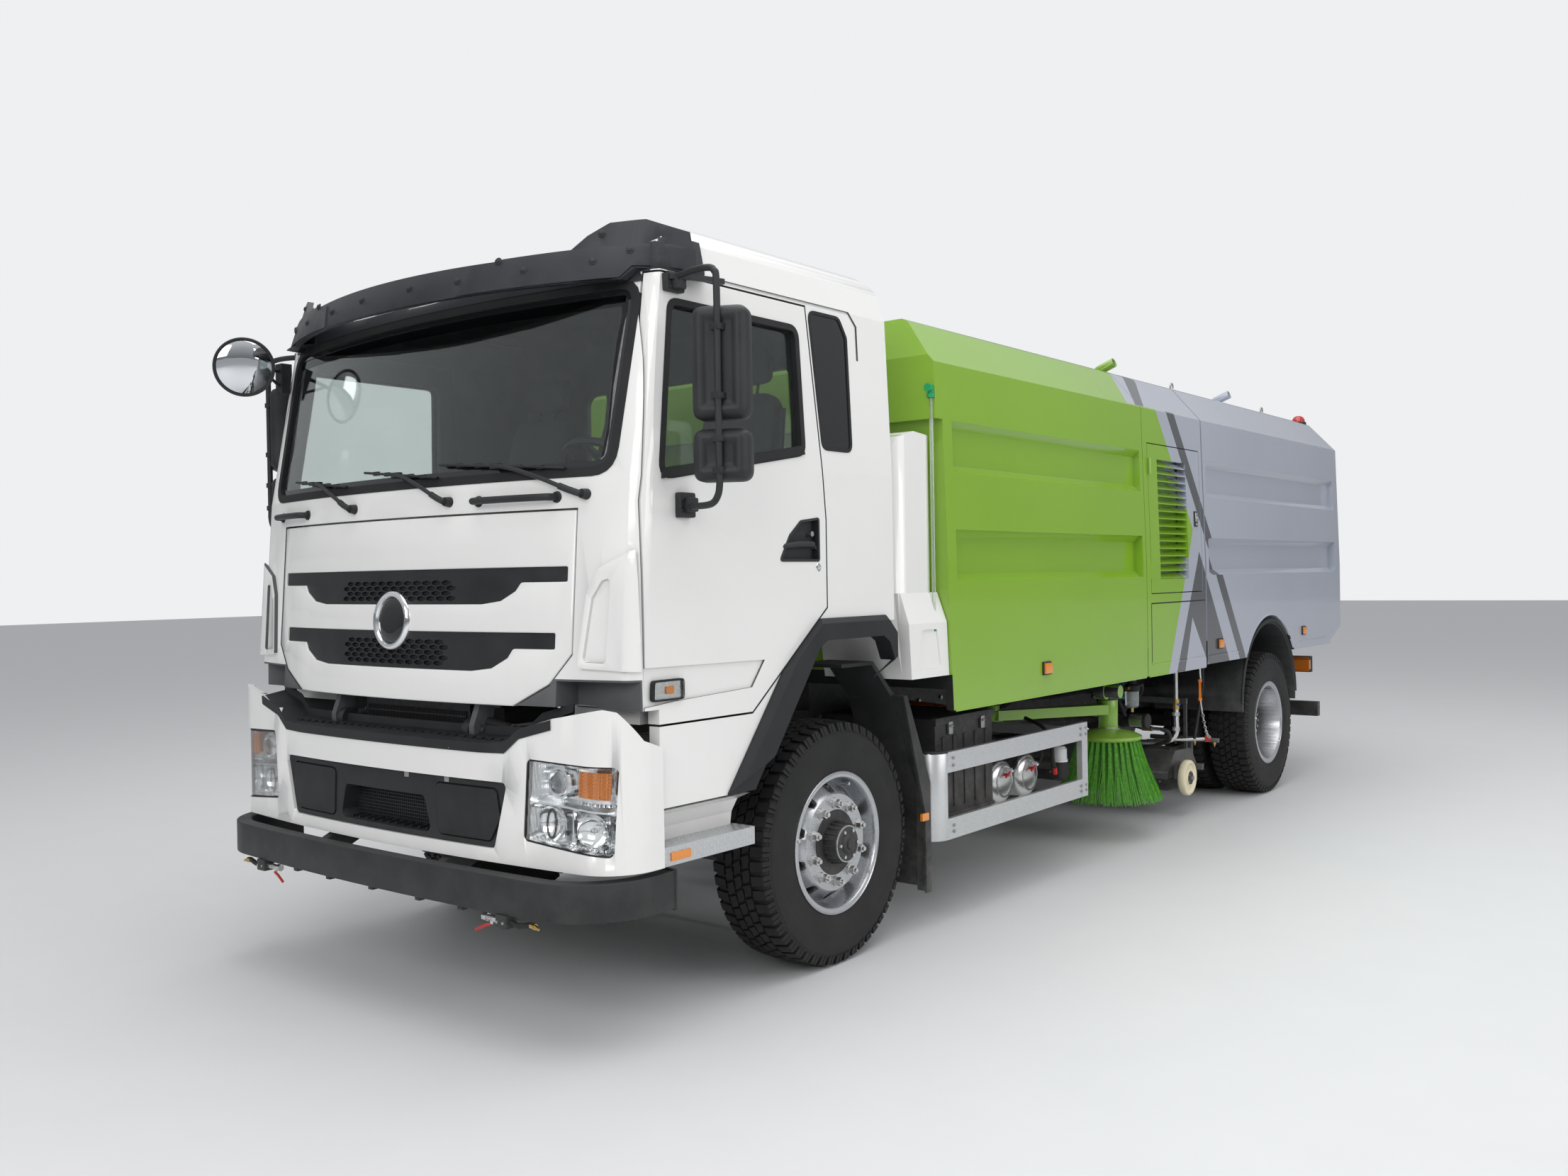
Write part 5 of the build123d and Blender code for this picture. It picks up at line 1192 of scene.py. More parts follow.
# the steps are one node: white panel above the tread's height, bare aluminium below
step_finish, tree, shader, shade, dirt = painted("step_finish", white_tone, 0.18, 0.1, 1.3, 0.3)
step_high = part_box("entry_steps")[0].z + 0.0685
bare = less(tree, wire(tree, "SeparateXYZ", spot_on(tree)).outputs["Z"], step_high)
feed(tree, shader, Base_Color=mingle(tree, bare, mingle(tree, dirt, shade, dust_tone), (0.56, 0.57, 0.58)),
     Metallic=times(tree, bare, 0.85), Roughness=spread(tree, bare, 0, 1, 0.2, 0.42))
dress(("entry_steps",), step_finish, 0.004, 40)

# chequer lugs on the tread and its front edge, left out behind the reflector
lugs, reflectors = fresh(2)
tread_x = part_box("entry_steps")[1].x
for side, _ in sides:
    for row in range(5):
        for k in range(27):
            slant = math.radians(45 if (row + k) % 2 else -45)
            station = -1.14 + 0.0187 * k
            spots = [(at(side * (tread_x - 0.012 - 0.02 * row), station, step_high), "Z",
                      (0.0045, 0.017, 0.0022))]
            if row == 0 or row < 3 and not -1.115 < station < -1.005:
                edge = at(side * tread_x, station, step_high - 0.013 - 0.019 * row)
                spots.append((edge, "X", (0.0022, 0.017, 0.0045)))
            for spot, axis, size in spots:
                place = Matrix.Translation(spot) @ Matrix.Rotation(slant, 4, axis)
                bmesh.ops.create_cube(lugs, size=1, matrix=place @ Matrix.Diagonal((*size, 1)))
    blocks(side, reflectors, 0.002, ((tread_x - 0.001, -1.112, 0.652), (tread_x + 0.005, -1.008, 0.683)))
    blocks(side, reflectors, 0.003, ((1.184, 0.6, 0.52), (1.199, 0.655, 0.555)))
shape("tread_chequer", lugs, aluminium, smooth=False)
shape("amber_reflectors", reflectors, amber_lens)

# rounded caps on the guard posts, and bolt heads along rails, plates and boxes
caps, bolts = fresh(2)
guard_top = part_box("side_guards")[1]
cap_line = [(1.222, 0.792), (1.216, 0.752), (1.191, 0.716), (1.158, 0.697), (1.118, 0.688), (1.118, 0.717),
            (1.148, 0.722), (1.172, 0.738), (1.188, 0.762), (1.193, 0.792)]
for side, _ in sides:
    plate(caps, cap_line, lambda x, station, lift: at(side * x, station, guard_top.z + lift), -0.004, 0.009)
    rods(side, origin, *((bolts, (1.219, station, z), (1.2265, station, z), 0.0085, 6)
                         for station in (0.84, 2.2, 2.26) for z in (0.44, 0.47, 0.755, 0.79)),
         *((bolts, (0.428, -1.05 + 0.235 * k, z), (0.442, -1.05 + 0.235 * k, z), 0.012, 6)
           for k in range(34) for z in (0.735, 0.945)))
shape("guard_caps", caps, black_plastic)

# battery boxes: lid lip, pressed ribs, latches and orange cables; leaf edges and spring clamps
ribs, latches, cables, leaves = fresh(4)
box_low, box_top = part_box("battery_boxes")
orange_sheath = plastic("orange_sheath", (0.62, 0.17, 0.01), 0.45, 900)
for side, _ in sides:
    wall = Vector((side * box_top.x, 0, 0))
    for low_z, top_z, proud in ((box_top.z - 0.03, box_top.z + 0.006, 0.008),
                                (box_low.z, box_low.z + 0.022, 0.006)):
        block(ribs, *path(side, [(-0.02, box_low.y - 0.006, low_z), (proud, box_top.y + 0.006, top_z)],
                          wall), 0.003)
    for y in [box_low.y + 0.07 + 0.1025 * k for k in range(5)]:
        block(ribs, *path(side, [(-0.004, y - 0.016, box_low.z + 0.05),
                                 (0.007, y + 0.016, box_top.z - 0.09)], wall),
              0.004)
    for y in (box_low.y + 0.12, box_top.y - 0.12):
        block(latches, *path(side, [(0.004, y - 0.018, box_top.z - 0.08),
                                    (0.016, y + 0.018, box_top.z - 0.018)],
                             wall), 0.003)
        rods(side, wall, (latches, (0.016, y - 0.014, box_top.z - 0.04),
                          (0.016, y + 0.014, box_top.z - 0.04), 0.006, 10))
    for k in range(3):
        start = Vector((side * (0.62 + 0.1 * k), box_top.y - 0.004, box_top.z - 0.08))
        rods(side, start, (latches, (0, 0, 0), (0, 0.022, 0), 0.017, 8))
        hose(cables, path(side, [(0, 0.01, 0), (0, 0.08, 0.01), (-0.06, 0.14, 0.06),
                                 (-0.16 - 0.1 * k, 0.16, 0.08)],
                          start), 0.01, 10, 6)
    for middle, seat_z in ((0, 0.5), (wheelbase, axle_high + 0.096)):
        seat = at(side * 0.43, middle, seat_z)
        for k in range(5):
            reach = 0.7 - 0.12 * k
            for end in (-1, 1):
                rise = (0.66 - seat_z) * reach / 0.8 + 0.012 + 0.006 * k
                lump(leaves, seat + Vector((0, end * reach, rise)), (0.039, 0.05, 0.003), 0.001)
        for y in (-0.055, 0.055):
            for x in (-0.046, 0.046):
                rods(side, seat, (leaves, (x, y, -0.03), (x, y, 0.105), 0.009, 10),
                     (leaves, (x, y, 0.075), (x, y, 0.092), 0.015, 6))
        lump(leaves, seat + Vector((0, 0, 0.068)), (0.055, 0.08, 0.008))
shape("battery_ribs", ribs, cast_black)
shape("battery_latches", latches, zinc)
shape("battery_cables", cables, orange_sheath)
shape("spring_leaves", leaves, chassis_paint)

# motor fins and terminal box
fins = bmesh.new()
for k in range(16):
    lathe(fins, [(-0.003, 0.205), (-0.003, 0.2165), (0.003, 0.2165), (0.003, 0.205)],
          at(0, 1.8 + 0.034 * k, 0.64), (0, 1, 0))
block(fins, at(-0.1, 1.84, 0.83), at(0.1, 2.06, 0.9), 0.006)
shape("motor_fins", fins, cast_black)

# reservoirs: domed ends, straps, drain taps and hoses
domes, straps, taps, hoses, whites = fresh(5)
for side, _ in sides:
    for station in (1.6, 1.88):
        lathe(domes, [(-0.02, 0.1195), (0, 0.1195), (0.014, 0.113), (0.026, 0.098), (0.036, 0.07),
                      (0.041, 0.035), (0.0425, 0)], at(side * 1.04, station, 0.56), (side, 0, 0), 40)
        for x in (0.68, 0.94):
            lathe(straps, [(-0.014, 0.1185), (-0.014, 0.1225), (0.014, 0.1225), (0.014, 0.1185)],
                  at(side * x, station, 0.56), (side, 0, 0), 40)
        tap = at(0, station, 0)
        rods(side, tap, (whites, (1.076, 0.03, 0.62), (1.106, 0.03, 0.62), 0.012, 6),
             (taps, (1.1, -0.035, 0.59), (1.1, 0.01, 0.612), 0.0055, 8),
             (taps, (1.075, -0.01, 0.6), (1.105, -0.01, 0.6), 0.008, 8))
        hose(hoses, path(side, [(1.1, 0.03, 0.62), (1.125, 0.04, 0.66), (1.1, 0.06, 0.73),
                                (0.98, 0.08, 0.76)],
                         tap), 0.006, 8, 6)
    # filter with its white bowl
    foot = at(side * 1.1, 2.18, 0.5)
    lathe(hoses, [(0, 0.03), (0.008, 0.048), (0.085, 0.05), (0.1, 0.046), (0.1, 0)], foot, count=28)
    lathe(whites, [(0.1, 0.046), (0.112, 0.046), (0.115, 0.042), (0.17, 0.041), (0.185, 0.03), (0.19, 0)],
          foot, count=28)
    blocks(side, hoses, 0.002, ((0.96, 2.14, 0.6), (1.08, 2.22, 0.612)))
    hose(hoses, path(side, [(1.13, 2.06, 0.58), (1.14, 2.02, 0.64), (1.12, 2.04, 0.73), (1.05, 2.08, 0.8),
                            (0.92, 2.12, 0.84)]), 0.011, 10, 6)
    rods(side, origin, (taps, (1.125, 2.075, 0.545), (1.13, 2.06, 0.582), 0.013, 12))
shape("tank_domes", domes, steel)
shape("tank_straps", straps, black_plastic)
shape("air_taps", taps, red_plastic)
shape("air_hoses", hoses, rubber)
shape("air_fittings", whites, plastic("white_plastic", (0.62, 0.63, 0.64), 0.4, 1200))

# Front spray bar. Hangers with bolts, feed tabs, and a valve with a red lever, a block and a brass
# nozzle under each end.
bar_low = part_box("front_spray_bar")[0]
tabs, valves, levers, nozzles = fresh(4)
for side, word in sides:
    rods(1, at(side * 0.39, -1.49, 0),
         *((bolts, (-0.03, 0, z), (0.03, 0, z), 0.01, 6) for z in (0.56, 0.59)))
    middle = at(side * 0.8, -1.512, 0.46)
    block(tabs, middle - Vector((0.03, 0.024, 0.022)), middle + Vector((0.03, 0.024, 0.026)), 0.004)
    rods(side, middle, *((bolts, (x, -0.022, 0), (x, -0.03, 0), 0.006, 6) for x in (-0.016, 0.016)),
         (valves, (-0.03, 0, 0), (-0.062, 0, 0), 0.014, 6),
         (valves, (-0.058, 0, 0), (-0.105, 0, 0), 0.0105, 14),
         (valves, (-0.1, 0, 0), (-0.122, 0, 0), 0.015, 6),
         (valves, (-0.08, 0, 0), (-0.08, 0, -0.022), 0.006, 10),
         (nozzles, (0.13, 0.006, 0.004), (0.152, 0.004, 0.001), 0.012, 6),
         (nozzles, (0.15, 0.004, 0.001), (0.175, 0, -0.004), 0.009, 14, 0.004))
    sweep(levers, path(side, [(-0.08, -0.004, -0.022), (-0.11, -0.008, -0.03), (-0.155, -0.012, -0.052)],
                       middle),
          0.0055, 8)
    feed_hose = bmesh.new()
    hose(feed_hose, path(side, [(0.028, 0, 0), (0.07, 0, -0.006), (0.13, 0.006, 0.004)], middle),
         0.01, 10, 6)
    shape("spray_hose_" + word, feed_hose, rubber)
for x in (-0.55, -0.3, 0, 0.3, 0.55):
    bow = 0.03 * x * x
    block(tabs, at(x - 0.014, -1.53 + bow, bar_low.z - 0.014),
          at(x + 0.014, -1.505 + bow, bar_low.z + 0.004))
shape("spray_tabs", tabs, black_plastic)
shape("spray_valves", valves, steel)
shape("spray_levers", levers, red_plastic)
shape("spray_nozzles", nozzles, brass)
shape("chassis_bolts", bolts, zinc)

# Mirrors. Grained housings with a raised spine, real reflecting glass behind, and the bowed tube
# with its clamps. The round convex mirror looks at the front corner.
dress(("front_mirror",), black_plastic, 0.003, 40)
mirror_plastic = plastic("mirror_plastic", (0.019, 0.02, 0.022), 0.42, 650)
mirror_glass, tree, shader = surface("mirror_glass", (0.74, 0.76, 0.78), 0.02, 1)
feed(tree, shader, Roughness=spread(tree, noise(tree, 14, 5), 0.3, 0.8, 0.015, 0.06))
mirror_turn = math.radians(27)
up = Vector((0, 0, 1))


def pane_line(half_wide, half_tall, radius):
    # a rounded rectangle about its middle
    return rounded([(-half_wide, -half_tall), (-half_wide, half_tall), (half_wide, half_tall),
                    (half_wide, -half_tall)], radius, 6)


for side, word in sides:
    cases, spines, glasses, clamps = fresh(4)
    # the housings are turned outwards by the same angle, and the tube runs before them
    along = Vector((side * math.cos(mirror_turn), math.sin(mirror_turn), 0))
    ahead_out = Vector((side * math.sin(mirror_turn), -math.cos(mirror_turn), 0))
    for high, tall in ((2.42, 0.4), (2.095, 0.185)):
        middle = at(side * 1.436, -1.03, high)
        capped(cases, [
            [cases.verts.new(middle + along * x + up * z + ahead_out * depth)
             for x, z in pane_line(0.103 - inset, tall / 2 - inset, max(0.008, 0.042 - inset))]
            for depth, inset in ((-0.046, 0.012), (-0.05, 0.004), (-0.04, 0), (0.012, 0), (0.036, 0.01),
                                 (0.048, 0.026), (0.05, 0.036), (0.04, 0.05), (0.036, 0.06))])
        plate(glasses, pane_line(0.089, tall / 2 - 0.014, 0.028),
              lambda x, z, lift: middle + along * x + up * z + ahead_out * (-0.047 - lift), -0.002, 0.0015)
        for z in (-tall * 0.3, tall * 0.3):
            lump(clamps, middle + up * z + ahead_out * 0.044, (0.02, 0.02, 0.012), 0.004)
    tube = at(side * (1.436 + 0.052 * math.sin(mirror_turn)), -1.03 - 0.052 * math.cos(mirror_turn), 0)
    line = path(side, [(1.215, -1.035, 2.752), (1.33, -1.06, 2.756)])
    line += path(side, [(-0.045, 0.006, 2.752), (-0.01, 0, 2.735), (0, 0, 2.69), (0, 0, 2.4), (0, 0, 2.05),
                        (0, 0, 1.99), (-0.014, 0.004, 1.95), (-0.06, 0.02, 1.925)], tube)
    line += path(side, [(1.3, -1.035, 1.922), (1.238, -1.015, 1.922)])
    hose(spines, line, 0.0125, 14, 6)
    for station, high, long, tall in ((-1.03, 2.735, 0.09, 0.066), (-1.015, 1.93, 0.08, 0.092)):
        x = cab_side_x(high)
        blocks(side, spines, 0.01, ((x - 0.004, station - long / 2, high - tall / 2),
                                    (x + 0.03, station + long / 2, high + tall / 2)))
        blocks(side, spines, 0.008, ((x + 0.026, station - 0.024, high - 0.026),
                                     (x + 0.058, station + 0.024, high + 0.026)))
        rods(side, at(side * x, station - 0.034, high),
             *((clamps, (0.029, 0, z), (0.035, 0, z), 0.006, 6) for z in (-0.02, 0.02)))
    door = "cab_door_" + word
    housing = shape("mirror_housings_" + word, cases, mirror_plastic, door, angle=50)
    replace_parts(housing, "mirror_" + word)
    shape("mirror_tube_" + word, spines, black_plastic, door)
    shape("mirror_panes_" + word, glasses, mirror_glass, door)
    shape("mirror_clamps_" + word, clamps, black_plastic, door)
glasses, rims = fresh(2)
round_facing = Vector((0.9, -0.35, -0.2)).normalized()
round_centre = at(-1.1, -1.4, 2.65)
lathe(glasses, [(0.0105, 0.121), (0.014, 0.115), (0.024, 0.085), (0.031, 0.045), (0.033, 0)], round_centre,
      round_facing)
lathe(rims, [(-0.004, 0.13), (0.01, 0.1325), (0.017, 0.129), (0.016, 0.121), (0.01, 0.119)], round_centre,
      round_facing, 56, True)
shape("round_mirror_pane", glasses, mirror_glass, "cab")
shape("round_mirror_rim", rims, black_plastic, "cab")

# Sweeping gear. Lime brush dishes with tufts of green bristles, their arms and hydraulic motors, the
# suction hood with its rubber skirt and ribbed duct, cream casters, and the water filter and valves.
random.seed(14)
gear_lime = painted("gear_lime", (0.22, 0.43, 0.03), 0.3, 0.1, 1.2, 0.5)[0]
bristle_green, tree, shader = surface("bristle_green", (0.1, 0.5, 0.02), 0.42)
strands = noise(tree, 55, 3)
feed(tree, shader, Base_Color=mingle(tree, spread(tree, strands, 0.3, 0.7), (0.05, 0.24, 0.012),
                                     (0.13, 0.45, 0.03)))
bump_from(tree, shader, strands, 0.001, 0.3)
hood_steel = bare_metal("hood_steel", (0.115, 0.118, 0.12), 0.5, 0.5, 20, reach=1.1, amount=0.9)
dress(("suction_nozzle",), hood_steel, 0.002, 40)
dress(("brush_arm_left", "brush_arm_right"), gear_lime, 0.003, 40)
dress(("lift_barrels",), chassis_paint, 0.002, 40)
dress(("lift_rods",), chrome, 0.001, 40)
caster_cream = plastic("caster_cream", (0.66, 0.6, 0.43), 0.38, 800, 0.5, 0.5)
blue_plastic = plastic("blue_plastic", (0.02, 0.1, 0.42), 0.35, 1200)

for side, word in sides:
    centre = at(side * 0.95, wheelbase - 2.15, 0)
    dishes, bristles, irons, motors, ports, lines = fresh(6)
    lathe(dishes, [(0.6, 0.12), (0.612, 0.196), (0.622, 0.206), (0.636, 0.204), (0.652, 0.172),
                   (0.668, 0.11), (0.676, 0.07), (0.682, 0.066), (0.684, 0.023)], centre, count=56)
    lathe(irons, [(0.682, 0.022), (0.682, 0.062), (0.69, 0.062), (0.694, 0.034), (0.7, 0.032), (0.7, 0.022)],
          centre, count=36, open_end=True)
    for away in around(6, 0.05):
        rods(1, centre + away, (irons, (0, 0, 0.688), (0, 0, 0.697), 0.008, 6))
    # an outer and an inner row of tufts, each of 18 bristles that lean and spread a little
    for tufts, root_r, tip_r, low, top in ((34, 0.186, 0.318, 0.236, 0.618), (24, 0.14, 0.24, 0.24, 0.612)):
        for k in range(tufts):
            for n in range(18):
                turn = 2 * math.pi * k / tufts + random.uniform(-0.035, 0.035)
                lean = random.uniform(-0.09, 0.09)
                out = tip_r + random.uniform(-0.03, 0.01)
                foot_z = low + random.uniform(0, 0.022)
                spots = []
                for t in (0, 0.45, 1):
                    radius = root_r + (out - root_r) * (0.62 * t + 0.38 * t * t) + random.uniform(-0.004,
                                                                                                  0.004)
                    angle = turn + lean * t * t
                    step = (radius * math.cos(angle), radius * math.sin(angle), top + (foot_z - top) * t)
                    spots.append(centre + Vector(step))
                sweep(bristles, spots, 0.0022, 3, (0.0026, 0.0024, 0.0017))
    # motor over the brush: ribbed case, ports, and two hoses back to the root
    lathe(motors, [(0.858, 0.062), (0.862, 0.066), (0.872, 0.066), (0.876, 0.052), (0.905, 0.052),
                   (0.912, 0.044), (0.914, 0)], centre, count=32)
    for away in around(4, 0.055, math.pi / 4):
        rods(1, centre + away, (ports, (0, 0, 0.872), (0, 0, 0.884), 0.008, 6))
    for y in (-0.022, 0.022):
        port = centre + Vector((-side * 0.045, y, 0.892))
        rods(side, port, (ports, (0, 0, 0), (-0.03, 0, 0), 0.011, 6))
        hose(lines, path(side, [(-0.02, 0, 0), (-0.09, -0.03, 0.012), (-0.2, -0.24, -0.006),
                                (-0.33, -0.5, -0.01), (-0.37, -0.6, -0.05)], port), 0.0095)
    # light rod that stays the arm
    rods(side, centre, (ports, (-0.03, 0.03, 0.735), (-0.12, -0.2, 0.8), 0.008, 10))
    brush, arm = "brush_" + word, "brush_arm_" + word
    shape("brush_dish_" + word, dishes, gear_lime, brush)
    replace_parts(shape("brush_bristles_" + word, bristles, bristle_green, brush, smooth=False),
                brush)
    shape("brush_flange_" + word, irons, zinc, brush)
    shape("brush_motor_" + word, motors, cast_black, arm)
    shape("brush_ports_" + word, ports, zinc, arm)
    shape("brush_lines_" + word, lines, rubber, arm)

# casters: dished cream wheels with black hubs, bolts and nuts
caster_station, caster_high = wheelbase - 1.26, sum(corner.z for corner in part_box("caster_left")) / 2
half = [(0.0235, 0.0135), (0.0235, 0.048), (0.012, 0.054), (0.012, 0.086), (0.02, 0.092), (0.024, 0.1),
        (0.0215, 0.113), (0.015, 0.1185)]
caster_line = [(-across, radius) for across, radius in half] + [(0, 0.12)] + half[::-1]
for side, word in sides:
    casters, hubs, nuts = fresh(3)
    middle, body = at(side * 1.105, caster_station, caster_high), "caster_" + word
    lathe(casters, caster_line + caster_line[:1], middle, (side, 0, 0), 56, True)
    lathe(hubs, [(0.023, 0.046), (0.0255, 0.044), (0.0265, 0.03), (0.0285, 0.026), (0.0285, 0.0135)], middle,
          (side, 0, 0), 32, True)
    for away in around(5, 0.036, math.pi / 2, "X"):
        rods(side, middle + away, (nuts, (0.025, 0, 0), (0.03, 0, 0), 0.005, 6))
    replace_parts(shape("caster_wheel_" + word, casters, caster_cream, body), body)
    shape("caster_hub_" + word, hubs, black_plastic, body)
    shape("caster_rivets_" + word, nuts, zinc, body)

# hood: rubber skirt, clamps and ribs of the duct, bolted flanges, spray tubes' nozzles
skirts, ribs, irons, spouts = fresh(4)
hood = at(0, wheelbase - 1.08, 0)
for low, top in (((-1.002, -0.268), (1.002, -0.258)), ((-1.002, 0.258), (1.002, 0.268)),
                 ((-1.008, -0.25), (-0.998, 0.25)), ((0.998, -0.25), (1.008, 0.25))):
    block(skirts, *path(1, [(*low, 0.178), (*top, 0.25)], hood))
duct = hood + Vector((-0.64, 0.03, 0))
for k in range(30):
    lathe(ribs, [(-0.006, 0.124), (-0.003, 0.131), (0.003, 0.131), (0.006, 0.124)],
          duct + Vector((0, 0, 0.45 + 0.0215 * k)), count=40)
for z in (0.435, 1.095):
    lathe(irons, [(-0.012, 0.126), (-0.012, 0.134), (0.012, 0.134), (0.012, 0.126)],
          duct + Vector((0, 0, z)), count=40)
for k, x in enumerate(evenly(-0.95, 0.95, 15)):
    rods(1, hood, *((irons, (x, y, 0.236), (x, y * 1.02, 0.236), 0.008, 6) for y in (-0.2685, 0.2685)))
    if k % 2 == 0:
        block(ribs, *path(1, [(x - 0.004, -0.115, 0.418), (x + 0.004, 0.155, 0.442)], hood), 0.001)
for side, _ in sides:
    for k in range(4):
        rods(side, at(side * (0.74 + 0.14 * k), wheelbase - 0.9, 0.466),
             (spouts, (0, 0, 0), (0, 0, -0.014), 0.011, 6),
             (spouts, (0, 0, -0.012), (0, 0, -0.03), 0.008, 12, 0.004))
    rods(side, at(0, caster_station, caster_high), (irons, (1.125, 0, 0), (1.15, 0, 0), 0.017, 6),
         (irons, (1.022, 0, 0), (1.032, 0, 0), 0.019))
shape("hood_skirt", skirts, rubber)
shape("duct_ribs", ribs, rubber)
shape("spray_spouts", spouts, brass)

# water filter with its clear bowl, coil, turnbuckle and chain, lance tube and valves, on both sides
bowls, coils, oranges, chains, tubes, brasses, reds, blues, blacks = fresh(9)
for side, _ in sides:
    top = at(side * 1, 3.4, 0.9)
    lathe(bowls, [(-0.115, 0), (-0.112, 0.03), (-0.1, 0.042), (-0.02, 0.045), (0, 0.045)], top, count=28)
    lathe(blacks, [(-0.006, 0.05), (0.01, 0.052), (0.03, 0.05), (0.042, 0.03), (0.06, 0.028), (0.06, 0)],
          top, count=28)
    rods(side, top, (brasses, (0, 0, -0.112), (0, 0, -0.14), 0.01, 6),
         *((brasses, (0, 0.05 * way, 0.018), (0, 0.085 * way, 0.018), 0.015, 6) for way in (-1, 1)))
    hose(blacks, path(side, [(0, 0.08, 0.018), (0, 0.16, 0.02), (-0.06, 0.24, -0.06), (-0.22, 0.3, -0.12),
                             (-0.42, 0.3, -0.08)], top), 0.012)
    block(irons, top + Vector((-0.02, -0.02, 0.055)), top + Vector((0.02, 0.02, 0.135)), 0.003)
    # blue green hose wound in a coil behind the filter
    turns = [(k, 2 * math.pi * k / 24) for k in range(97)]
    sweep(coils, [at(side * (0.86 - 0.022 * k / 24), 3.62 + 0.105 * math.cos(angle),
                     0.93 + 0.105 * math.sin(angle))
                  for k, angle in turns], 0.009, 8)
    blocks(side, irons, 0.002, ((0.43, 3.605, 1.028), (0.86, 3.635, 1.04)))
    # turnbuckle from the body's edge, and the chain that carries the hood
    hook = at(side * 1.2, 4.04, 1.02)
    rods(side, hook, (chains, (0, 0, 0), (0, 0.012, -0.09), 0.006, 10),
         *((oranges, (0, 0.0013 * k, -k), (0, 0.0016 * k, -k - 0.018), 0.013, 6) for k in (0.09, 0.215)),
         *((oranges, (0, y, -0.095), (0, y, -0.23), 0.0045, 8) for y in (-0.01, 0.01)),
         (chains, (0, 0, -0.225), (0, 0.03, -0.3), 0.006, 10))
    start, end = hook + Vector((0, 0.03, -0.3)), at(side * 1.15, 4.35, 0.5)
    along = (end - start).normalized()
    links = 15
    for k in range(links):
        share = (k + 0.5) / links
        spot = start.lerp(end, share) - Vector((0, 0, 0.05 * math.sin(math.pi * share)))
        across = Vector((1, 0, 0)) if k % 2 else along.cross(Vector((1, 0, 0))).normalized()
        sweep(chains, [spot + along * 0.017 * math.cos(turn) + across * 0.0095 * math.sin(turn)
                       for turn in evenly(0, 2 * math.pi, 13)], 0.0028, 6)
    # steel tubes with their clamps and unions, a brass tap and a ball valve with blue levers
    hose(tubes, path(side, [(0.7, 3.9, 0.5), (0.9, 3.9, 0.505), (1.03, 3.91, 0.52), (1.075, 3.93, 0.57),
                            (1.075, 3.94, 0.66), (1.07, 3.95, 0.74)]), 0.017, 16)
    rods(side, origin, (tubes, (0.8, 4.09, 0.486), (1.13, 4.34, 0.495), 0.0125),
         (reds, (1.118, 4.33, 0.494), (1.15, 4.352, 0.496), 0.022, 18),
         *((tubes, (1.074, 3.937, z - 0.012), (1.074, 3.939, z + 0.012), 0.024, 6) for z in (0.6, 0.7)),
         (brasses, (1.072, 3.944, 0.73), (1.072, 3.946, 0.8), 0.021),
         (blues, (1.095, 3.945, 0.765), (1.12, 3.86, 0.772), 0.007, 8),
         (tubes, (1.072, 3.946, 0.8), (1.072, 3.946, 1.02), 0.014, 14),
         (brasses, (0.93, 3.72, 0.62), (1, 3.72, 0.62), 0.017, 6),
         (tubes, (1, 3.72, 0.62), (1.06, 3.72, 0.62), 0.012, 14),
         (blues, (0.965, 3.72, 0.64), (0.985, 3.64, 0.655), 0.006, 8),
         # dark rod beside the chain
         (blacks, (1.135, 4.1, 0.52), (1.155, 4.2, 0.86), 0.01, 12),
         (blacks, (1.155, 4.2, 0.86), (1.155, 4.2, 1), 0.014, 12))
    hose(blacks, path(side, [(1.06, 3.72, 0.62), (1.1, 3.74, 0.6), (1.08, 3.8, 0.54), (0.98, 3.88, 0.5),
                             (0.84, 3.93, 0.46)]), 0.013)
    hose(blacks, path(side, [(0.93, 3.72, 0.62), (0.84, 3.7, 0.66), (0.8, 3.6, 0.84), (0.7, 3.5, 1),
                             (0.56, 3.45, 1.06)]), 0.013)
    # capped coupling of the filling hose
    cap = at(side * 1.06, 3.45, 0.7)
    lathe(blacks, [(0, 0.05), (0.022, 0.05), (0.028, 0.044), (0.03, 0)], cap, (side, 0, 0), 28)
    rods(side, cap, (tubes, (-0.09, 0, 0), (0, 0, 0), 0.042, 24))
    hose(blacks, path(side, [(-0.085, 0, 0), (-0.16, 0, -0.01), (-0.26, 0.02, 0.06), (-0.36, 0.02, 0.22)],
                      cap),
         0.034, 16)
clear_bowl, tree, shader = surface("clear_bowl", (0.8, 0.86, 0.86), 0.05, clear=0.8)
bump_from(tree, shader, noise(tree, 70, 4), 0.0006, 0.3)
shape("filter_bowls", bowls, clear_bowl)
shape("hose_coils", coils, plastic("teal_hose", (0.02, 0.14, 0.17), 0.35, 1500))
shape("turnbuckles", oranges, orange_sheath)
shape("hood_chains", chains, steel)
shape("water_tubes", tubes, steel)
shape("brass_fittings", brasses, brass)
shape("tube_clamps", reds, red_plastic)
shape("valve_levers", blues, blue_plastic)
shape("gear_hoses", blacks, rubber)
shape("gear_brackets", irons, zinc)

# Interior. Two padded seats in dark woven cloth with piped seams, grained dash with a gauge hood,
# switches and vents, and the steering wheel with its moulded grips.
seat_cloth, tree, shader = surface("seat_cloth", (0.06, 0.064, 0.07), 0.85)
place = spot_on(tree)
warp, weft = (wire(tree, "TexWave", place, 130, bands_direction=way).outputs["Fac"] for way in "XZ")
weave = maths(tree, "MAXIMUM", warp, weft)
feed(tree, shader, Base_Color=mingle(tree, weave, (0.045, 0.048, 0.053), (0.085, 0.09, 0.098)))
bump_from(tree, shader, weave, 0.0012, 0.5)
seat_piping = plastic("seat_piping", (0.12, 0.125, 0.13), 0.6, 1500)


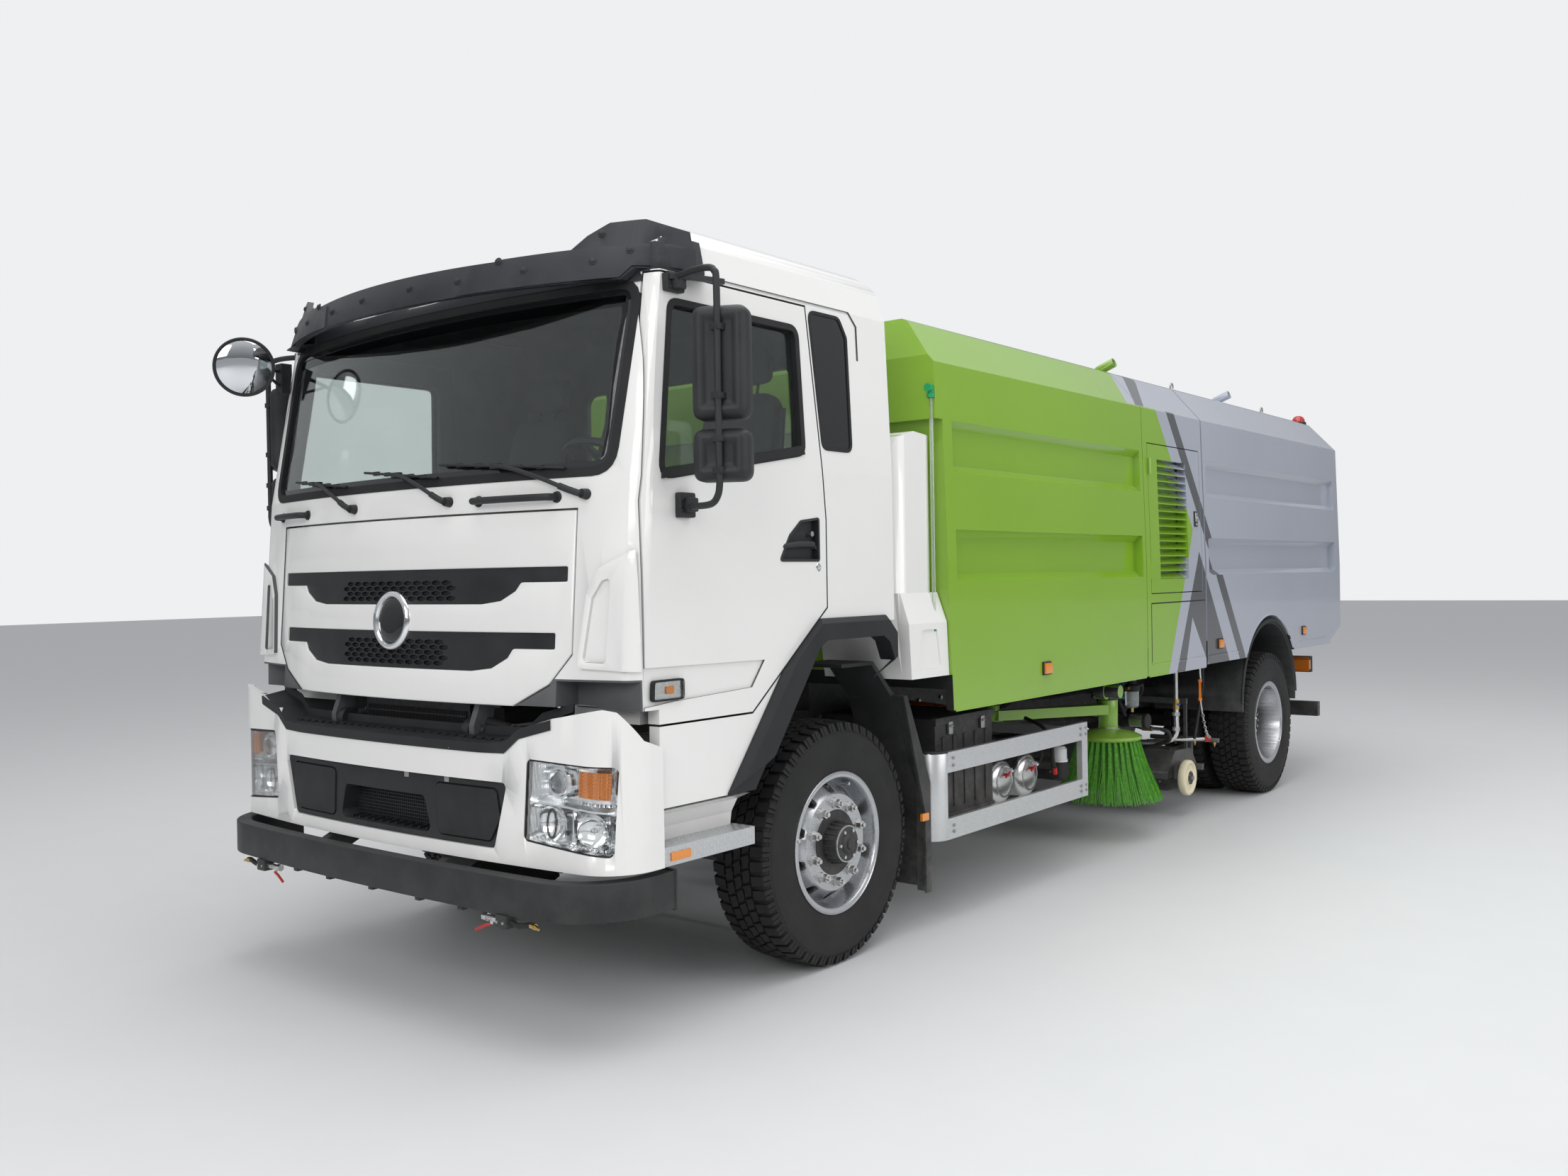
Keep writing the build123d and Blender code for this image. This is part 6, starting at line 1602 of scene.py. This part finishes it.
def pillow(build, low, top, lean, crown=0.16, pull=0.03, cuts=14):
    # crowned pad whose sides pull in between its corners, leaned back about its foot
    size = top - low
    made = bmesh.ops.create_cube(build, size=1)
    edges = {edge for vert in made["verts"] for edge in vert.link_edges}
    bmesh.ops.subdivide_edges(build, edges=list(edges), cuts=cuts, use_grid_fill=True)
    tilt = Matrix.Rotation(lean, 3, "X")
    thin = min(range(3), key=lambda axis: size[axis])
    foot = Vector((0, 0, -size.z / 2))
    for vert in build.verts:
        spot = 2 * vert.co
        vert.co = spot * (1 / max(1, sum(abs(part) ** 5 for part in spot) ** 0.2))
        for axis in range(3):
            swell = crown if axis == thin else -pull
            for other in range(3):
                if other != axis:
                    swell *= 1 - vert.co[other] ** 2
            vert.co[axis] *= 1 + swell
        spot = Vector([part * long / 2 for part, long in zip(vert.co, size)])
        vert.co = low.lerp(top, 0.5) + foot + tilt @ (spot - foot)


def puffed(pad, reach):
    # short cloth run under pressure, capped and applied, then one subdivision
    remesh = pad.modifiers.new("voxels", "REMESH")
    remesh.mode = "VOXEL"
    remesh.voxel_size = 0.01
    depsgraph = bpy.context.evaluated_depsgraph_get()
    flat = bpy.data.meshes.new_from_object(pad.evaluated_get(depsgraph))
    pad.modifiers.clear()
    pad.data = flat
    rest = [vert.co.copy() for vert in flat.vertices]
    cloth = pad.modifiers.new("cloth", "CLOTH")
    cloth.settings.use_pressure = True
    cloth.settings.uniform_pressure_force = 4
    cloth.settings.effector_weights.gravity = 0
    for frame_number in range(1, 13):
        bpy.context.scene.frame_set(frame_number)
    depsgraph = bpy.context.evaluated_depsgraph_get()
    swollen = bpy.data.meshes.new_from_object(pad.evaluated_get(depsgraph))
    for vert, was in zip(swollen.vertices, rest):
        move = vert.co - was
        if move.length > reach:
            vert.co = was + move.normalized() * reach
    pad.modifiers.clear()
    pad.data = swollen
    bpy.context.scene.frame_set(1)
    pad.data.shade_smooth()
    smooth = pad.modifiers.new("smooth", "SUBSURF")
    smooth.levels = 1
    smooth.render_levels = 1


piping, frames = fresh(2)
for side, word in sides:
    for part, wide, low, top, lean in (
        ("squab", 0.235, (-0.605, 1.8), (-0.145, 1.925), 0),
        ("back", 0.225, (-0.15, 1.915), (-0.045, 2.5), -0.17),
        ("headrest", 0.125, (-0.01, 2.53), (0.065, 2.695), -0.12),
    ):
        build = bmesh.new()
        pillow(build, at(side * 0.67 - wide, *low), at(side * 0.67 + wide, *top), lean)
        pad = shape(part + "_" + word, build, seat_cloth, "cab", angle=80)
        puffed(pad, 0.008)
        if part + word == "squableft":
            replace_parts(pad, "seats")
    seat = at(side * 0.67, 0, 0)
    for x in (-0.15, 0.15):
        hose(piping, path(1, [(x, -0.585, 1.915), (x, -0.45, 1.9325), (x, -0.25, 1.9325),
                              (x, -0.155, 1.918)], seat),
             0.0045, 8, 6)
    rods(1, seat, *((frames, (x, 0.005, 2.46), (x, 0.03, 2.56), 0.007, 12) for x in (-0.06, 0.06)))
    for low, top, ease in (((-0.17, -0.56, 1.512), (0.17, -0.18, 1.802), 0.02),
                           ((-0.215, -0.6, 1.775), (0.215, -0.13, 1.812), 0.01),
                           ((-0.178, -0.6, 1.512), (-0.142, -0.12, 1.535), 0.003),
                           ((0.142, -0.6, 1.512), (0.178, -0.12, 1.535), 0.003)):
        block(frames, *path(1, [low, top], seat), ease)
    # belt down beside the back
    sweep(frames, path(side, [(0.235, -0.02, 2.4), (0.245, -0.08, 2), (0.245, -0.22, 1.82)], seat), 0.012, 8)
shape("seat_piping", piping, seat_piping, "cab")
shape("seat_frames", frames, black_plastic, "cab")

dash_plastic = plastic("dash_plastic", (0.04, 0.042, 0.045), 0.6, 450)
dress(("dashboard",), dash_plastic, 0.008, 40)
hoods, switches, dials, grips = fresh(4)
for angle in evenly(0, math.pi, 13):
    # hooded gauge binnacle before the driver
    x, z = 0.64 + 0.2 * math.cos(angle), 2 + 0.105 * math.sin(angle)
    block(hoods, at(x - 0.03, -1, z - 0.012), at(x + 0.03, -0.862, z + 0.012), 0.006)
for x in (0.56, 0.72):
    lathe(dials, [(0, 0.062), (0.006, 0.06), (0.007, 0.052), (0.002, 0.05), (0.002, 0)],
          at(x, -0.875, 2.015), (0, 1, 0.3), 32)
# two rows of switches, and four vents of five slats
knobs = [((-0.08 + 0.042 * k, 1.9 - 0.05 * row), (0.015, 0.004, 0.017), 0.002, 0.002)
         for row in range(2) for k in range(8)]
knobs += [((x, 1.93 - 0.016 * k), (0.07, 0.005, 0.003), 0.002, 0.001)
          for x in (-0.95, -0.3, 0.32, 0.98) for k in range(5)]
for (x, z), half, proud, ease in knobs:
    spot, _ = touch("dashboard", at(x, 0.2, z), (0, -1, 0))
    block(switches, spot - Vector(half), spot + Vector(half) + Vector((0, proud, 0)), ease)
wheel_middle = at(0.64, -0.77, 2.086)
wheel_axis = Vector((0, 0.55, 0.83)).normalized()
turn = wheel_axis.to_track_quat("Z", "Y").to_matrix()
sweep(grips, [wheel_middle + turn @ step for step in around(48, 0.225) + around(1, 0.225)], 0.0165, 12)
lathe(grips, [(-0.02, 0.07), (0.012, 0.066), (0.022, 0.05), (0.025, 0)], wheel_middle, wheel_axis, 32)
for step in around(3, 1, -math.pi / 2):
    away = turn @ step
    rod(grips, wheel_middle + away * 0.05, wheel_middle + away * 0.222, 0.013, 10, 0.01)
shape("gauge_hood", hoods, dash_plastic, "cab")
shape("gauge_dials", dials, dark_pane, "cab")
shape("dash_switches", switches, black_plastic, "cab")
shape("steering_grips", grips, black_plastic, "cab")

# Rear and underside. Tail lamps in three coloured cells, the underrun bar's reflectors and bolts, tail
# door hinges, clamps and rubber seal, mudguard lips and the pressed ribs along the body's foot.
red_tone = (0.5, 0.012, 0.01)
tail_finish, tree, shader = surface("tail_finish", red_tone, 0.12, coat=0.7)
away = maths(tree, "ABSOLUTE", wire(tree, "SeparateXYZ", spot_on(tree)).outputs["X"])
cells = mingle(tree, more(tree, away, 0.985), red_tone, (0.78, 0.22, 0.02))
cells = mingle(tree, less(tree, away, 0.79), cells, (0.72, 0.72, 0.7))
prisms = wire(tree, "TexChecker", spot_on(tree), None, None, 170).outputs["Fac"]
feed(tree, shader, Base_Color=mingle(tree, spread(tree, prisms, 0, 1, 0, 0.25), cells, (0.03, 0.03, 0.03)))
bump_from(tree, shader, prisms, 0.0008, 0.3)
dress(("tail_lamps",), tail_finish, 0.006, 40)

cases, irons, panels = fresh(3)
lamp_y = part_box("tail_lamps")[1].y
for side, _ in sides:
    for low, top in (((0.694, 0.794), (1.126, 0.802)), ((0.694, 0.918), (1.126, 0.926)),
                     *(((x, 0.8), (x + 0.008, 0.92)) for x in (0.694, 0.786, 0.981, 1.118))):
        block(cases, (side * low[0], lamp_y - 0.058, low[1]), (side * top[0], lamp_y + 0.004, top[1]))
    for x in (0.25, 0.55, 0.85, 1.08):
        middle = at(side * x, wheelbase + 1.46, 0.49)
        block(panels, middle + Vector((-0.055, -0.001, -0.022)), middle + Vector((0.055, 0.004, 0.022)))
    rods(side, at(0, wheelbase, 0), *((irons, (x, 1.455, z), (x, 1.47, z), 0.01, 6)
                                      for x in (0.436, 0.468) for z in (0.46, 0.52, 0.62, 0.7)))
shape("tail_lamp_cases", cases, black_plastic)
shape("bar_reflectors", panels, red_lens)
shape("rear_bolts", irons, zinc)

# tail door: seal round the joint, two hinges on top, four clamps, ribs and a blank plate
door_low, door_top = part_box("tail_door")
irons, clamps, seals, ribs, blanks = fresh(5)
for side, _ in sides:
    hinge = Vector((side * 0.55, door_top.y, door_top.z - 0.02))
    rod(irons, hinge + Vector((-0.1, -0.045, 0.02)), hinge + Vector((0.1, -0.045, 0.02)), 0.017)
    block(irons, hinge + Vector((-0.07, -0.05, -0.17)), hinge + Vector((0.07, 0.01, 0.012)), 0.004)
    for z in (1.45, 2.25):
        clamp = Vector((side * 1.205, door_top.y, z))
        block(clamps, clamp + Vector((-0.03, -0.004, -0.05)), clamp + Vector((0.03, 0.014, 0.05)), 0.004)
        rods(1, clamp, (clamps, (0, 0.008, -0.04), (0, 0.008, 0.085), 0.01, 12))
for z in (1.35, 1.75, 2.15, 2.5):
    block(ribs, (-1.1, door_top.y - 0.004, z - 0.032), (1.1, door_top.y + 0.014, z + 0.032), 0.012)
block(blanks, (-0.22, door_top.y + 0.012, 1.195), (0.22, door_top.y + 0.017, 1.3), 0.004)
seal_line = [(1.02, 2.845), (1.21, 2.64), (1.235, 1.7), (1.235, 1.16)]
seal_line = [(-x, z) for x, z in seal_line[::-1]] + seal_line + [(-1.235, 1.16)]
sweep(seals, [(x, door_low.y - 0.002, z) for x, z in seal_line], 0.009, 8)
shape("tail_hinges", irons, body_paint, "tail_door")
shape("tail_clamps", clamps, zinc, "tail_door")
shape("tail_ribs", ribs, body_paint, "tail_door")
shape("blank_plate", blanks, aluminium, "tail_door")
shape("tail_seal", seals, rubber, "tail_door")

# rolled lips on the rear mudguards and on the hopper's wheel arch, fixing ribs along the skirts
lips, arches = fresh(2)
for side, _ in sides:
    for radius, x, thick, lowest, build in ((0.592, side_x - 0.015, 0.01, 0.7, lips),
                                            (0.637, side_x - 0.01, 0.013, 1.03, arches)):
        hub = at(side * x, wheelbase, axle_high + 0.168)
        line = [hub + Vector((0, radius * math.cos(angle), radius * math.sin(angle)))
                for angle in evenly(math.radians(2), math.radians(178), 33)]
        sweep(build, [point for point in line if point.z > lowest], thick, 8)
shape("guard_lips", lips, guard_plastic)
shape("arch_lips", arches, body_paint, "hopper")
for word, spans, body in (("front", ((3.1, 3.98),), "chassis"),
                          ("rear", ((4.04, 4.62), (5.98, 6.66)), "hopper")):
    strips = bmesh.new()
    for side, _ in sides:
        blocks(side, strips, 0.007, *(((side_x - 0.028, start, 1.078), (side_x + 0.002, end, 1.098))
                                      for start, end in spans))
    shape("foot_ribs_" + word, strips, body_paint, body)
seams = bmesh.new()
inner, outer = side_x - 0.004, side_x + 0.0007
for side, _ in sides:
    blocks(side, seams, 0.001, ((inner, 3.1, 1.458), (outer, 3.98, 1.466)),
           ((inner, 3.098, 1.1), (outer, 3.106, 1.46)))
shape("panel_seams", seams, rubber)

# Replaced nodes. The CAD shapes that pieces above stand for are plastic, rubber, cloth or bristle
# like those pieces. They keep that finish for a viewer that shows them.
dress(("tyre_front_left", "tyre_front_right", "tyre_rear_left", "tyre_rear_right"), tyre_rubber)
dress(("mirror_left", "mirror_right", "wipers"), black_plastic)
dress(("brush_left", "brush_right"), bristle_green)
dress(("caster_left", "caster_right"), caster_cream)
dress(("seats",), seat_cloth)
dress(("headlamps",), clear_lens)
